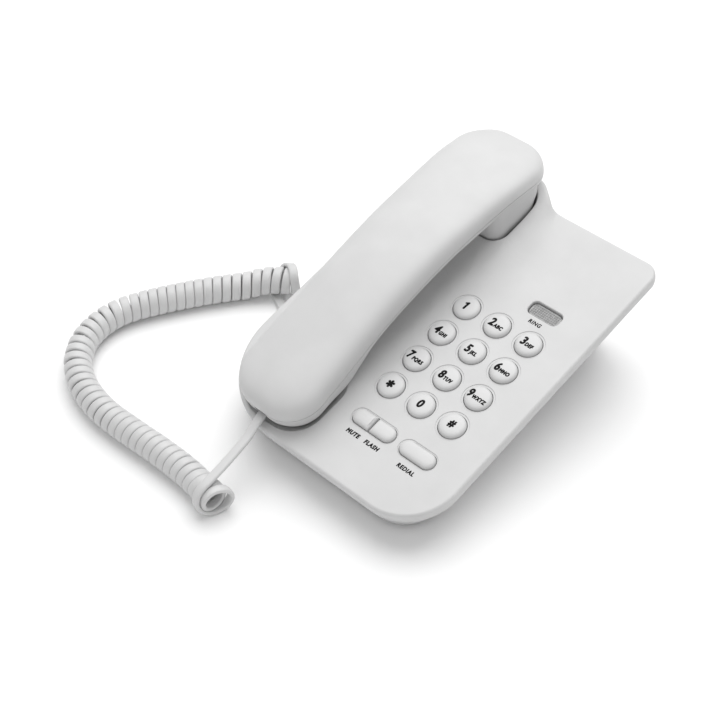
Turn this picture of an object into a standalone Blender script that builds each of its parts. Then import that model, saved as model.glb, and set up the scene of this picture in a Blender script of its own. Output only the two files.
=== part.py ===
"""Corded desk phone: a wedge-shaped base with a keypad, a handset lying in two cups on its left, and a
curly handset cord on the table.  Metres, +Z up, the phone faces -Y and stands on Z = 0.

Most pieces are drawn in the face frame: u to the right, v up the sloping keypad face, n out of it, with
its origin at the middle of the twelve keys."""

import math

import bmesh
import bpy
from mathutils import Matrix, Vector

MM = 0.001
OBJECT = "corded_phone"

# Face frame
SLOPE = math.radians(12.0)
FACE_AT = (28.3 * MM, -16.46 * MM, 41.8 * MM)

# Base: corners of its outline in the face frame, from the front left round to the back left.  The cover
# runs further back behind the earpiece than behind the keypad, with a hollow corner between the two.
LEFT, RIGHT, FRONT, BACK, REST_BACK = -103.3 * MM, 46.7 * MM, -88.0 * MM, 106.4 * MM, 117.5 * MM
STEP_RIGHT, STEP_LEFT = -24.0 * MM, -38.0 * MM
CORNER_RADII = (50 * MM, 30 * MM, 9 * MM, 8 * MM, 12 * MM, 26 * MM)
ARC_STEPS = (7, 6, 4, 3, 3, 5)
WALL = 2.2 * MM
GAP = 0.3 * MM
RIM_DEPTH = 4.2 * MM           # the top shell's edge, below the keypad face
STRIP_DEPTH = 6.1 * MM         # the bottom shell's narrow strip ends here
HULL_DEPTH = 6.8 * MM
FLOOR_Z = 2.3 * MM
FLOOR_TOP_Z = 5.4 * MM
HULL_FOOT_Z = 5.0 * MM
# The bottom shell's foot in plan, from the face's origin, with corners in the same order
FOOT_CORNERS = ((-97.3, -76.8), (36.2, -76.8), (18.2, 99.0), (-34.0, 99.0), (-44.0, 107.0), (-93.0, 107.0))
FOOT_RADII = (34 * MM, 20 * MM, 8 * MM, 6 * MM, 8 * MM, 14 * MM)

# Keypad
KEY_PITCH_U, KEY_PITCH_V = 20.3 * MM, 19.85 * MM
KEY_HOLE_RADIUS = 7.55 * MM
KEY_NAMES = (("1", "2", "3"), ("4", "5", "6"), ("7", "8", "9"), ("star", "0", "hash"))
PILL_HALF_WIDTH = 4.4 * MM
PILL_V = -52.5 * MM
TWIN_PILL_U, TWIN_PILL_HALF_LENGTH = -11.3 * MM, 13.3 * MM
REDIAL_U, REDIAL_HALF_LENGTH = 17.3 * MM, 10.6 * MM
TWIN_SPLIT_U, TWIN_SPLIT_GAP = -11.7 * MM, 1.0 * MM
LENS_AT, LENS_SIZE = (14.9 * MM, 50.1 * MM), (18.0 * MM, 7.6 * MM)

# Handset, in the face frame
HANDSET_U = -59.5 * MM
HANDSET_V = (-83.5 * MM, 124.0 * MM)
HANDSET_CORNER = 20 * MM
HANDSET_WALL = 2.0 * MM
HALF_WIDTH = ((-67 * MM, 25.5 * MM), (-15 * MM, 24.4 * MM), (40 * MM, 25.1 * MM), (90 * MM, 27.0 * MM))
SEAM = ((-86 * MM, 11 * MM), (-50 * MM, 13.6 * MM), (0, 20.8 * MM), (40 * MM, 23.5 * MM),
        (80 * MM, 21.8 * MM), (118 * MM, 15.0 * MM))
CROWN = ((-86 * MM, 9 * MM), (-40 * MM, 12.8 * MM), (0, 12.6 * MM), (40 * MM, 11.3 * MM),
         (80 * MM, 10.2 * MM), (118 * MM, 9.3 * MM))
UNDERSIDE = ((-52 * MM, -5.7 * MM), (-44 * MM, -2 * MM), (-34 * MM, 5 * MM), (-22 * MM, 12.5 * MM),
             (-5 * MM, 16.3 * MM), (20 * MM, 18.3 * MM), (69.9 * MM, 18.6 * MM), (71.2 * MM, -1 * MM),
             (76.5 * MM, -7.7 * MM), (96 * MM, -7.7 * MM), (103 * MM, -6 * MM), (109.5 * MM, 2 * MM),
             (112 * MM, 8 * MM), (124 * MM, 9 * MM))
SIDE_STATIONS = tuple(v * MM for v in (-58, -51, -45, -39, -33, -27, -20, -10, 5, 30, 55, 69.8, 70.6, 71.3,
                                       77, 88, 97))

# Cups in the base: low and high v, half width in u, corner radius at the front and at the back
EAR_CUP = (69.6 * MM, 113 * MM, 27.8 * MM, 9 * MM, 14 * MM)
MOUTH_CUP = (-83.2 * MM, -28.0 * MM, 23.4 * MM, 17 * MM, 12 * MM)
# How far each cup shrinks at heights down its wall, in mm, the last at its floor
EAR_DRAFT = ((20, 0), (0, 0), (-4, 1.5), (-8, 4))
MOUTH_DRAFT = ((20, 0), (0, 0), (-3, 3), (-6, 7))
EAR_FLOOR = -8.0 * MM

# Cord
COIL_RADIUS = 7.75 * MM
TAIL_RADIUS = 1.75 * MM

# Colours
SHELL_GREY = (0.80, 0.80, 0.80)
KEY_GREY = (0.82, 0.82, 0.82)
CORD_GREY = (0.74, 0.74, 0.74)
LENS_GREY = (0.52, 0.52, 0.52)
BOARD_GREEN = (0.05, 0.22, 0.10)
DARK_PLASTIC = (0.04, 0.04, 0.04)
RUBBER_GREY = (0.10, 0.10, 0.10)
STEEL = (0.62, 0.62, 0.62)
CLEAR = (0.85, 0.88, 0.90)


# --- scene, frames, materials -------------------------------------------------------------------------

def clear_scene():
    for old in list(bpy.data.objects):
        bpy.data.objects.remove(old, do_unlink=True)


def new_collection(name):
    made = bpy.data.collections.new(name)
    bpy.context.scene.collection.children.link(made)
    return made


def new_empty(name, location, slope=0.0):
    made = bpy.data.objects.new(name, None)
    made.location = location
    made.rotation_euler = (slope, 0, 0)
    PARTS.objects.link(made)
    return made


def material(name, colour, roughness, metallic=0.0, alpha=1.0):
    made = bpy.data.materials.new(name)
    made.use_nodes = True
    shader = made.node_tree.nodes["Principled BSDF"]
    shader.inputs["Base Color"].default_value = (*colour, 1)
    shader.inputs["Roughness"].default_value = roughness
    shader.inputs["Metallic"].default_value = metallic
    shader.inputs["Alpha"].default_value = alpha
    return made


def smooth_step(x):
    x = min(max(x, 0.0), 1.0)
    return x * x * (3 - 2 * x)


def between(x, low, high):
    """0 below low, 1 above high, smooth between."""
    return smooth_step((x - low) / (high - low))


def along(x, stops):
    """The value at x on a smooth curve through (place, value) stops, which never overshoots them."""
    if x <= stops[0][0] or x >= stops[-1][0]:
        return stops[0][1] if x <= stops[0][0] else stops[-1][1]
    slopes = [(y1 - y0) / (x1 - x0) for (x0, y0), (x1, y1) in zip(stops, stops[1:])]
    i = max(k for k in range(len(slopes)) if stops[k][0] <= x)
    low, high = slopes[max(i - 1, 0)], slopes[min(i + 1, len(slopes) - 1)]
    (x0, y0), (x1, y1) = stops[i], stops[i + 1]
    span, t = x1 - x0, (x - x0) / (x1 - x0)
    leave, arrive = shared_slope(low, slopes[i]), shared_slope(slopes[i], high)
    curve = leave * t * (1 - t) ** 2 - arrive * t * t * (1 - t)
    return y0 + (y1 - y0) * t * t * (3 - 2 * t) + span * curve


def shared_slope(before, after):
    return 0.0 if before * after <= 0 else 2 * before * after / (before + after)


FACE = Matrix.Translation(FACE_AT) @ Matrix.Rotation(SLOPE, 4, "X")


def on_face(u, v, n=0.0):
    return FACE @ Vector((u, v, n))


# --- objects from meshes ------------------------------------------------------------------------------

def finish_object(name, mesh, slot, parent=None, location=(0, 0, 0), smooth=True):
    made = bpy.data.objects.new(name, mesh)
    PARTS.objects.link(made)
    made.parent = parent
    made.location = location
    mesh.materials.clear()
    mesh.materials.append(slot)
    if smooth:
        mesh.shade_smooth()
        mesh.set_sharp_from_angle(angle=math.radians(35))
    return made


def mesh_from(bm, name):
    bmesh.ops.remove_doubles(bm, verts=bm.verts, dist=1e-6)
    bmesh.ops.recalc_face_normals(bm, faces=bm.faces)
    mesh = bpy.data.meshes.new(name)
    bm.to_mesh(mesh)
    bm.free()
    return mesh


def loft(rings, name, cap_first=True, cap_last=True):
    """A skin over rings of equal length; an uncapped end has closed up on itself."""
    bm = bmesh.new()
    rows = [[bm.verts.new(p) for p in ring] for ring in rings]
    count = len(rows[0])
    for low, high in zip(rows, rows[1:]):
        for i in range(count):
            j = (i + 1) % count
            bm.faces.new((low[i], low[j], high[j], high[i]))
    if cap_first:
        bm.faces.new(reversed(rows[0]))
    if cap_last:
        bm.faces.new(rows[-1])
    return mesh_from(bm, name)


def box_mesh(name, low, high):
    bm = bmesh.new()
    bmesh.ops.create_cube(bm, size=1.0)
    size = [b - a for a, b in zip(low, high)]
    middle = [(a + b) / 2 for a, b in zip(low, high)]
    bmesh.ops.scale(bm, vec=size, verts=bm.verts)
    bmesh.ops.translate(bm, vec=middle, verts=bm.verts)
    return mesh_from(bm, name)


def disc_mesh(name, radius, low, high, sides=24, at=(0, 0)):
    bm = bmesh.new()
    bmesh.ops.create_cone(bm, cap_ends=True, segments=sides, radius1=radius, radius2=radius, depth=high - low)
    bmesh.ops.translate(bm, vec=(at[0], at[1], (low + high) / 2), verts=bm.verts)
    return mesh_from(bm, name)


def rounded_polygon(corners, radii, segments):
    """Counter-clockwise outline with an arc in each corner, as (x, y) points."""
    points = []
    count = len(corners)
    for i, (corner, radius, steps) in enumerate(zip(corners, radii, segments)):
        here = Vector(corner)
        to_last = (Vector(corners[i - 1]) - here).normalized()
        to_next = (Vector(corners[(i + 1) % count]) - here).normalized()
        half_angle = to_last.angle(to_next) / 2
        centre = here + (to_last + to_next).normalized() * (radius / math.sin(half_angle))
        start = here + to_last * (radius / math.tan(half_angle)) - centre
        outward = 1 if to_last.cross(to_next) < 0 else -1
        turn = outward * (math.pi - 2 * half_angle)
        for k in range(steps + 1):
            turned = Matrix.Rotation(turn * k / steps, 2) @ start
            points.append(tuple(centre + turned))
    return points


def box_corners(low_u, high_u, low_v, high_v):
    return (low_u, low_v), (high_u, low_v), (high_u, high_v), (low_u, high_v)


def shrunk(corners, radii, inset):
    """The six-cornered plan moved inwards all round; its fourth corner is the hollow one."""
    across = (1, -1, -1, -0.4, -0.4, 1)
    forward = (1, 1, -1, -1, -1, -1)
    moved = [(x + a * inset, y + f * inset) for (x, y), a, f in zip(corners, across, forward)]
    turned_in = (-1, -1, -1, 1, -1, -1)
    return rounded_polygon(moved, [r + s * inset for r, s in zip(radii, turned_in)], ARC_STEPS)


def base_outline(inset=0.0):
    corners = ((LEFT, FRONT), (RIGHT, FRONT), (RIGHT, BACK), (STEP_RIGHT, BACK), (STEP_LEFT, REST_BACK),
               (LEFT, REST_BACK))
    return shrunk(corners, CORNER_RADII, inset)


def prism_mesh(name, outline, low, high):
    rings = [[(x, y, z) for x, y in outline] for z in (low, high)]
    return loft(rings, name)


def helper(mesh, parent=None):
    """A hidden object that another piece is cut or joined with."""
    made = bpy.data.objects.new(mesh.name, mesh)
    made.hide_render = True
    made.display_type = "WIRE"
    made.parent = parent
    CUTTERS.objects.link(made)
    return made


def combine(name, first, second, operation):
    """The boolean of two meshes as a new mesh; second may be a list."""
    seconds = second if isinstance(second, list) else [second]
    target = helper(first)
    tools = [helper(mesh) for mesh in seconds]
    for tool in tools:
        step = target.modifiers.new("join", "BOOLEAN")
        step.operation = operation
        step.object = tool
    graph = bpy.context.evaluated_depsgraph_get()
    made = bpy.data.meshes.new_from_object(target.evaluated_get(graph))
    made.name = name
    for used in [target, *tools]:
        bpy.data.objects.remove(used, do_unlink=True)
    return made


# --- base top shell -----------------------------------------------------------------------------------

def face_height(u, v):
    """The top cover's height over the keypad face: a low rise round the ear cup, a little higher behind it,
    and a shallow scoop for fingers under the handle."""
    beside = between(-u, 18 * MM, 31 * MM)
    rise = 2.5 * MM * between(v, 35 * MM, 75 * MM) + 2.5 * MM * between(v, 88 * MM, 112 * MM)
    scoop = 4.0 * MM * between(v, -22 * MM, 0) * (1 - between(v, 48 * MM, 66 * MM))
    middle = between(-u, 34 * MM, 48 * MM) * (1 - between(-u, 72 * MM, 88 * MM))
    return beside * rise - scoop * middle


GRID_U = (-110, -88, -80, -72, -60, -48, -41, -34, -31, -27, -23, -18, 0, 55)
GRID_V = (-95, -22, -14, -7, 0, 20, 35, 48, 54, 60, 66, 75, 88, 96, 104, 112, 125)


def height_block(name, lowered, bottom):
    """A solid under the top cover's surface, lowered by a given depth."""
    bm = bmesh.new()
    top, floor = [], []
    for v in GRID_V:
        height = [face_height(u * MM, v * MM) - lowered for u in GRID_U]
        top.append([bm.verts.new((u * MM, v * MM, n)) for u, n in zip(GRID_U, height)])
        floor.append([bm.verts.new((u * MM, v * MM, bottom)) for u in GRID_U])
    columns, rows = len(GRID_U), len(GRID_V)
    for i in range(rows - 1):
        for j in range(columns - 1):
            bm.faces.new((top[i][j], top[i][j + 1], top[i + 1][j + 1], top[i + 1][j]))
            bm.faces.new((floor[i][j], floor[i + 1][j], floor[i + 1][j + 1], floor[i][j + 1]))
    border = [(0, j) for j in range(columns)] + [(i, columns - 1) for i in range(1, rows)]
    border += [(rows - 1, j) for j in range(columns - 2, -1, -1)] + [(i, 0) for i in range(rows - 2, 0, -1)]
    for (i, j), (k, m) in zip(border, border[1:] + border[:1]):
        bm.faces.new((floor[i][j], floor[k][m], top[k][m], top[i][j]))
    return mesh_from(bm, name)


def cup_outline(cup, grow=0.0):
    low, high, half = cup[0] - grow, cup[1] + grow, cup[2] + grow
    radii = [cup[3] + grow] * 2 + [cup[4] + grow] * 2
    return rounded_polygon(box_corners(HANDSET_U - half, HANDSET_U + half, low, high), radii, [4] * 4)


def plate_outline(at, size, radius, steps=3):
    """A rounded rectangle about a middle point."""
    half_u, half_v = size[0] / 2, size[1] / 2
    corners = box_corners(at[0] - half_u, at[0] + half_u, at[1] - half_v, at[1] + half_v)
    return rounded_polygon(corners, [radius] * 4, [steps] * 4)


def pill_outline(u, half_length, grow=0.0):
    width = 2 * (PILL_HALF_WIDTH + grow)
    return plate_outline((u, PILL_V), (2 * (half_length + grow), width), width * 0.499, 4)


def key_places():
    for row, names in enumerate(KEY_NAMES):
        for column, name in enumerate(names):
            yield name, (column - 1) * KEY_PITCH_U, (1.5 - row) * KEY_PITCH_V


PLUNGER_AT, PLUNGER_SIZE = (HANDSET_U, 79.0 * MM), (12 * MM, 6 * MM)
BOSS_RADIUS, BOSS_BORE = 3.4 * MM, 1.5 * MM
BOSSES = ((-89, 8), (24, -66), (12, 84), (-87, 58))          # in plan, from the face's origin, in mm


def boss_place(place):
    return FACE_AT[0] + place[0] * MM, FACE_AT[1] + place[1] * MM


def in_face(mesh):
    """World mesh to the face frame."""
    mesh.transform(FACE.inverted())
    return mesh


def cup_mesh(cup, draft, grow=0.0, deeper=0.0):
    """A cup's room as a solid, or with grow and deeper the block that it is hollowed from."""
    rings = []
    for i, (n, shrink) in enumerate(draft):
        low = deeper if i == len(draft) - 1 else 0.0
        rings.append([(u, v, n * MM - low) for u, v in cup_outline(cup, grow - shrink * MM)])
    return loft(rings, "cup")


def supports():
    """The cups' walls and the screw bosses, trimmed to end inside the cover."""
    made = [cup_mesh(EAR_CUP, EAR_DRAFT, 2 * MM, 2.2 * MM), cup_mesh(MOUTH_CUP, MOUTH_DRAFT, 2 * MM, 2 * MM)]
    for place in BOSSES:
        made.append(in_face(disc_mesh("boss", BOSS_RADIUS, 9.5 * MM, 80 * MM, 12, boss_place(place))))
    edge = prism_mesh("edge", base_outline(1 * MM), -70 * MM, 45 * MM)
    limit = combine("limit", height_block("block", 1 * MM, -65 * MM), edge, "INTERSECT")
    return [combine("support", mesh, limit.copy(), "INTERSECT") for mesh in made]


def face_openings():
    """Cutters for the cups, the keys, the buttons, the lamp window, the hook plunger and the screw bores."""
    made = [cup_mesh(EAR_CUP, EAR_DRAFT), cup_mesh(MOUTH_CUP, MOUTH_DRAFT)]
    for name, u, v in key_places():
        made.append(disc_mesh("key_hole", KEY_HOLE_RADIUS, -4 * MM, 3 * MM, 20, (u, v)))
    for u, half_length in ((TWIN_PILL_U, TWIN_PILL_HALF_LENGTH), (REDIAL_U, REDIAL_HALF_LENGTH)):
        made.append(prism_mesh("pill_hole", pill_outline(u, half_length, 0.4 * MM), -4 * MM, 3 * MM))
    window = [side + 0.6 * MM for side in LENS_SIZE]
    made.append(prism_mesh("window", plate_outline(LENS_AT, window, 3 * MM), -4 * MM, 3 * MM))
    slot = [side + 0.6 * MM for side in PLUNGER_SIZE]
    slot = plate_outline(PLUNGER_AT, slot, 1.5 * MM)
    made.append(prism_mesh("plunger_hole", slot, -12 * MM, EAR_FLOOR + 1 * MM))
    for place in BOSSES:
        top_z = FACE_AT[2] + place[1] * MM * math.tan(SLOPE) - 6 * MM
        made.append(in_face(disc_mesh("bore", BOSS_BORE, 5 * MM, top_z, 8, boss_place(place))))
    return made


def build_top_shell():
    edge = prism_mesh("edge", base_outline(), -12 * MM, 45 * MM)
    outer = combine("outer", height_block("block", 0, -RIM_DEPTH), edge, "INTERSECT")
    inner_edge = prism_mesh("inner_edge", base_outline(WALL), -19 * MM, 45 * MM)
    hollow = combine("hollow", height_block("void", WALL, -20 * MM), inner_edge, "INTERSECT")
    cover = combine("cover", outer, hollow, "DIFFERENCE")
    cover = combine("cover", cover, supports(), "UNION")
    shell = combine("base_top_shell", cover, face_openings(), "DIFFERENCE")
    return finish_object("base_top_shell", shell, SHELL, FACE_FRAME)


# --- base bottom shell --------------------------------------------------------------------------------

def foot_outline(inset=0.0, height=0.0):
    """The hull's foot in plan, as world points at a height."""
    corners = [(FACE_AT[0] + x * MM, FACE_AT[1] + y * MM) for x, y in FOOT_CORNERS]
    return [(x, y, height) for x, y in shrunk(corners, FOOT_RADII, inset)]


def rim_ring(inset, depth):
    return [tuple(on_face(u, v, -depth)) for u, v in base_outline(inset)]


LINE_JACK_AT = (-20 * MM, 16 * MM)                 # x from the face's origin, z
LINE_JACK_SIZE = (14 * MM, 13 * MM)
BACK_FACE_Y = 99.4 * MM                            # the back wall low down, from the face's origin
CORD_JACK_AT = (-24 * MM, 15 * MM)                 # y from the face's origin, z
CORD_JACK_SIZE = (10.6 * MM, 9.2 * MM)
LEFT_FACE_X = -99.2 * MM
SWITCH_AT = (2 * MM, 30 * MM)
SWITCH_TRAVEL = 5 * MM
SCREW_HEAD_HOLE = 3.4 * MM


def world_box(name, low, high):
    """A box given in plan from the face's origin, and in true height."""
    shift = (FACE_AT[0], FACE_AT[1], 0)
    return box_mesh(name, [a + b for a, b in zip(low, shift)], [a + b for a, b in zip(high, shift)])


def hull_openings():
    made = []
    x, z = LINE_JACK_AT
    half_w, half_h = LINE_JACK_SIZE[0] / 2 + GAP, LINE_JACK_SIZE[1] / 2 + GAP
    made.append(world_box("line_jack_hole", (x - half_w, 88 * MM, z - half_h),
                          (x + half_w, 108 * MM, z + half_h)))
    y, z = CORD_JACK_AT
    half_w, half_h = CORD_JACK_SIZE[0] / 2 + GAP, CORD_JACK_SIZE[1] / 2 + GAP
    made.append(world_box("cord_jack_hole", (-106 * MM, y - half_w, z - half_h),
                          (-90 * MM, y + half_w, z + half_h)))
    x, z = SWITCH_AT
    made.append(world_box("switch_slot", (x - 2.8 * MM, 90 * MM, z - 2 * MM),
                          (x + 2.8 * MM + SWITCH_TRAVEL, 112 * MM, z + 2 * MM)))
    for place in BOSSES:
        made.append(disc_mesh("screw_hole", 1.5 * MM, 1 * MM, 9 * MM, 10, boss_place(place)))
        made.append(disc_mesh("screw_recess", SCREW_HEAD_HOLE, 1 * MM, 4.0 * MM, 14, boss_place(place)))
    return made


def build_bottom_shell():
    outside = [rim_ring(0.3 * MM, RIM_DEPTH + GAP), rim_ring(0.3 * MM, STRIP_DEPTH),
               rim_ring(1.5 * MM, HULL_DEPTH), foot_outline(0, HULL_FOOT_Z), foot_outline(2.0 * MM, FLOOR_Z)]
    inside = [foot_outline(3.4 * MM, FLOOR_TOP_Z), foot_outline(WALL, HULL_FOOT_Z + 1.8 * MM),
              rim_ring(3.2 * MM, HULL_DEPTH), rim_ring(2.6 * MM, RIM_DEPTH + GAP)]
    hull = loft(inside + outside, "hull")
    shell = combine("base_bottom_shell", hull, hull_openings(), "DIFFERENCE")
    return finish_object("base_bottom_shell", shell, SHELL)


# --- keys, buttons and lamp ---------------------------------------------------------------------------

def turned(name, profile, slot, parent, location, steps=16):
    """A Screw modifier turns the profile of (radius, height), which runs from top to bottom."""
    mesh = bpy.data.meshes.new(name)
    mesh.from_pydata([(r, 0, n) for r, n in profile], [(i, i + 1) for i in range(len(profile) - 1)], [])
    made = finish_object(name, mesh, slot, parent, location, smooth=False)
    screw = made.modifiers.new("turn", "SCREW")
    screw.axis = "Z"
    screw.steps = screw.render_steps = steps
    screw.use_merge_vertices = True
    screw.merge_threshold = 1e-5
    screw.use_smooth_shade = True
    return made


KEY_PROFILE = ((0, 2.1), (4.6, 2.0), (6.4, 1.6), (7.0, 1.0), (7.15, 0.2), (7.15, -2.6), (8.6, -2.6),
               (8.6, -3.7), (0, -3.7))


def build_keys():
    profile = [(r * MM, n * MM) for r, n in KEY_PROFILE]
    for name, u, v in key_places():
        turned(f"key_{name}", profile, KEYS, FACE_FRAME, (u, v, 0))


def button(name, low_u, high_u, left_round, right_round):
    """A pill or half pill; a square end has no flange, because its neighbour is there."""
    levels = ((1.2, -3.7), (1.2, -2.6), (0, -2.6), (0, 0.5), (-0.4, 1.3), (-1.3, 1.7))
    middle_u = (low_u + high_u) / 2
    rings = []
    for grow, n in levels:
        grow *= MM
        half_v = PILL_HALF_WIDTH + grow
        left = grow if left_round or grow < 0 else 0
        right = grow if right_round or grow < 0 else 0
        corners = box_corners(low_u - left - middle_u, high_u + right - middle_u, -half_v, half_v)
        ends = [half_v * 0.998 if is_round else 0.3 * MM for is_round in (left_round, right_round)]
        radii = (ends[0], ends[1], ends[1], ends[0])
        rings.append([(x, y, n * MM) for x, y in rounded_polygon(corners, radii, [4] * 4)])
    return finish_object(name, loft(rings, name), KEYS, FACE_FRAME, (middle_u, PILL_V, 0))


def build_buttons():
    low, high = TWIN_PILL_U - TWIN_PILL_HALF_LENGTH, TWIN_PILL_U + TWIN_PILL_HALF_LENGTH
    half_gap = TWIN_SPLIT_GAP / 2
    button("mute_button", low, TWIN_SPLIT_U - half_gap, True, False)
    button("flash_button", TWIN_SPLIT_U + half_gap, high, False, True)
    button("redial_button", REDIAL_U - REDIAL_HALF_LENGTH, REDIAL_U + REDIAL_HALF_LENGTH, True, True)


def build_lamp():
    flange = [side + 2.4 * MM for side in LENS_SIZE]
    rings = [[(x, y, n * MM) for x, y in plate_outline((0, 0), size, 2.8 * MM)]
             for size, n in ((flange, -3.5), (flange, -2.5), (LENS_SIZE, -2.5), (LENS_SIZE, -0.8))]
    finish_object("ring_lens", loft(rings, "ring_lens"), LENS, FACE_FRAME, (*LENS_AT, 0))
    dome = [(0, -4.0), (0.9, -4.3), (1.5, -5.2), (1.5, -6.3), (1.8, -6.3), (1.8, -6.9), (0, -6.9)]
    turned("ring_led", [(r * MM, n * MM) for r, n in dome], LENS, FACE_FRAME, (*LENS_AT, 0), 12)


# --- inside the base ----------------------------------------------------------------------------------

def face_plate(name, low_u, high_u, low_v, high_v, low_n, high_n, slot, radius=2 * MM):
    at = ((low_u + high_u) / 2, (low_v + high_v) / 2)
    outline = plate_outline((0, 0), (high_u - low_u, high_v - low_v), radius)
    mesh = prism_mesh(name, outline, low_n, high_n)
    return finish_object(name, mesh, slot, FACE_FRAME, (*at, 0))


def build_boards():
    face_plate("keypad_membrane", -30 * MM, 31 * MM, -60 * MM, 40 * MM, -6.9 * MM, -5.5 * MM, RUBBER)
    face_plate("main_board", -30 * MM, 32 * MM, -61 * MM, 58 * MM, -8.8 * MM, -7.2 * MM, BOARD)
    at = (FACE_AT[0], FACE_AT[1] - 30 * MM, 0)
    profile = [(r * MM, z * MM) for r, z in ((0, 10.0), (9, 10.0), (12, 9.2), (12, 5.7), (0, 5.7))]
    turned("ringer_sounder", profile, DARK, None, at, 20)


BRACKET_U, BRACKET_V = 10 * MM, (50 * MM, 86 * MM)
BRACKET_FLOOR = -36 * MM
PIN_V, PIN_N, PIN_RADIUS = 55 * MM, -24.5 * MM, 1.2 * MM
LEVER_TOP = -20.3 * MM


def cross_pin(name, radius, half_length, sides=12):
    """A cylinder along u through the lever's pivot."""
    mesh = disc_mesh(name, radius, -half_length, half_length, sides)
    mesh.transform(Matrix.Rotation(math.pi / 2, 4, "Y"))
    return mesh


def build_hook():
    u, v = PLUNGER_AT
    narrow, wide = PLUNGER_SIZE, [side + 2 * MM for side in PLUNGER_SIZE]
    tip = [side - 0.8 * MM for side in PLUNGER_SIZE]
    levels = ((narrow, -20), (narrow, -17), (wide, -17), (wide, -15.5), (narrow, -15.5), (narrow, -8.6),
              (tip, -8.0))
    rings = [[(x, y, n * MM) for x, y in plate_outline((0, 0), size, 1.2 * MM)] for size, n in levels]
    finish_object("hook_plunger", loft(rings, "hook_plunger"), DARK, FACE_FRAME, (u, v, 0))

    pivot = new_empty("hook_lever_axis", on_face(HANDSET_U, PIN_V, PIN_N), SLOPE)
    arm = box_mesh("arm", (-4 * MM, -2 * MM, 1.2 * MM), (4 * MM, 28 * MM, LEVER_TOP - PIN_N))
    lever = combine("hook_lever", arm, cross_pin("barrel", 3 * MM, 4.0 * MM), "UNION")
    lever = combine("hook_lever", lever, cross_pin("bore", PIN_RADIUS + 0.15 * MM, 9 * MM), "DIFFERENCE")
    finish_object("hook_lever", lever, DARK, pivot)
    pin = cross_pin("hook_lever_pin", PIN_RADIUS, BRACKET_U + 0.6 * MM)
    finish_object("hook_lever_pin", pin, METAL, pivot)

    wall, low_n, high_n = 1.8 * MM, BRACKET_FLOOR, EAR_FLOOR - WALL - GAP
    outer = box_mesh("bracket", (-BRACKET_U, BRACKET_V[0], low_n), (BRACKET_U, BRACKET_V[1], high_n))
    room = box_mesh("room", (wall - BRACKET_U, 0, low_n + wall), (BRACKET_U - wall, 0.2, 0))
    holes = cross_pin("holes", PIN_RADIUS + 0.15 * MM, 20 * MM)
    holes.transform(Matrix.Translation((0, PIN_V, PIN_N)))
    bracket = combine("hook_bracket", outer, [room, holes], "DIFFERENCE")
    finish_object("hook_bracket", bracket, SHELL, FACE_FRAME, (HANDSET_U, 0, 0))

    seat = BRACKET_FLOOR + wall + GAP
    rings = [[(x, y, n) for x, y in plate_outline((0, 0), size, 1 * MM, 2)]
             for size, n in (((9 * MM, 8 * MM), seat), ((9 * MM, 8 * MM), seat + 6 * MM),
                             ((3 * MM, 3 * MM), seat + 6 * MM), ((3 * MM, 3 * MM), seat + 10.3 * MM))]
    finish_object("hook_switch", loft(rings, "hook_switch"), DARK, FACE_FRAME, (HANDSET_U, 79 * MM, 0))
    build_hook_spring(seat, PIN_N + 1.2 * MM - GAP)


SPRING_V, SPRING_TURNS, SPRING_RADIUS, SPRING_WIRE = 68 * MM, 4.5, 2.4 * MM, 0.35 * MM


def build_hook_spring(low_n, high_n):
    low, high = low_n + SPRING_WIRE, high_n - SPRING_WIRE
    count = int(SPRING_TURNS * 10)
    points = []
    for i in range(count + 1):
        turn = 2 * math.pi * SPRING_TURNS * i / count
        height = low + (high - low) * i / count
        u, v = HANDSET_U + SPRING_RADIUS * math.cos(turn), SPRING_V + SPRING_RADIUS * math.sin(turn)
        points.append(on_face(u, v, height))
    tube("hook_spring", points, SPRING_WIRE, METAL)


def build_sockets():
    """The line jack, the handset cord's jack and the ringer switch, in the bottom shell's walls."""
    x, z = LINE_JACK_AT
    half_w, half_h = LINE_JACK_SIZE[0] / 2, LINE_JACK_SIZE[1] / 2
    face_y = BACK_FACE_Y + 0.6 * MM
    body = world_box("body", (x - half_w, face_y - 16 * MM, z - half_h), (x + half_w, face_y, z + half_h))
    room = world_box("room", (x - 4.95 * MM, face_y - 12 * MM, z - 3.5 * MM),
                     (x + 4.95 * MM, face_y + 5 * MM, z + 3.5 * MM))
    finish_object("line_jack", combine("line_jack", body, room, "DIFFERENCE"), DARK)

    y, z = CORD_JACK_AT
    half_w, half_h = CORD_JACK_SIZE[0] / 2, CORD_JACK_SIZE[1] / 2
    body = world_box("body", (LEFT_FACE_X, y - half_w, z - half_h),
                     (LEFT_FACE_X + 14 * MM, y + half_w, z + half_h))
    room = world_box("room", (LEFT_FACE_X - 5 * MM, y - 4.15 * MM, z - 3.6 * MM),
                     (LEFT_FACE_X + 11.6 * MM, y + 4.15 * MM, z + 3.6 * MM))
    finish_object("base_cord_jack", combine("base_cord_jack", body, room, "DIFFERENCE"), DARK)
    build_plug("base_plug", on_world(LEFT_FACE_X + 4.2 * MM, y, z), (-1, 0, 0), (0, 0, 1))

    x, z = SWITCH_AT
    wall_y = back_wall_y(z)
    knob = world_box("knob", (x - 2.2 * MM, wall_y - 5.4 * MM, z - 1.6 * MM),
                     (x + 2.2 * MM, wall_y + 1.4 * MM, z + 1.6 * MM))
    slide = world_box("slide", (x - 4 * MM, wall_y - 6.4 * MM, z - 3.4 * MM),
                      (x + 4 * MM, wall_y - 4.4 * MM, z + 3.4 * MM))
    finish_object("ringer_switch", combine("ringer_switch", knob, slide, "UNION"), DARK)


def back_wall_y(z):
    """Where the right part of the back wall's outside stands at a height, from the face's origin."""
    top = on_face(0, BACK - 1.5 * MM, -HULL_DEPTH)
    low_y = FOOT_CORNERS[2][1] * MM
    share = (z - HULL_FOOT_Z) / (top.z - HULL_FOOT_Z)
    return low_y + (top.y - FACE_AT[1] - low_y) * share


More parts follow.
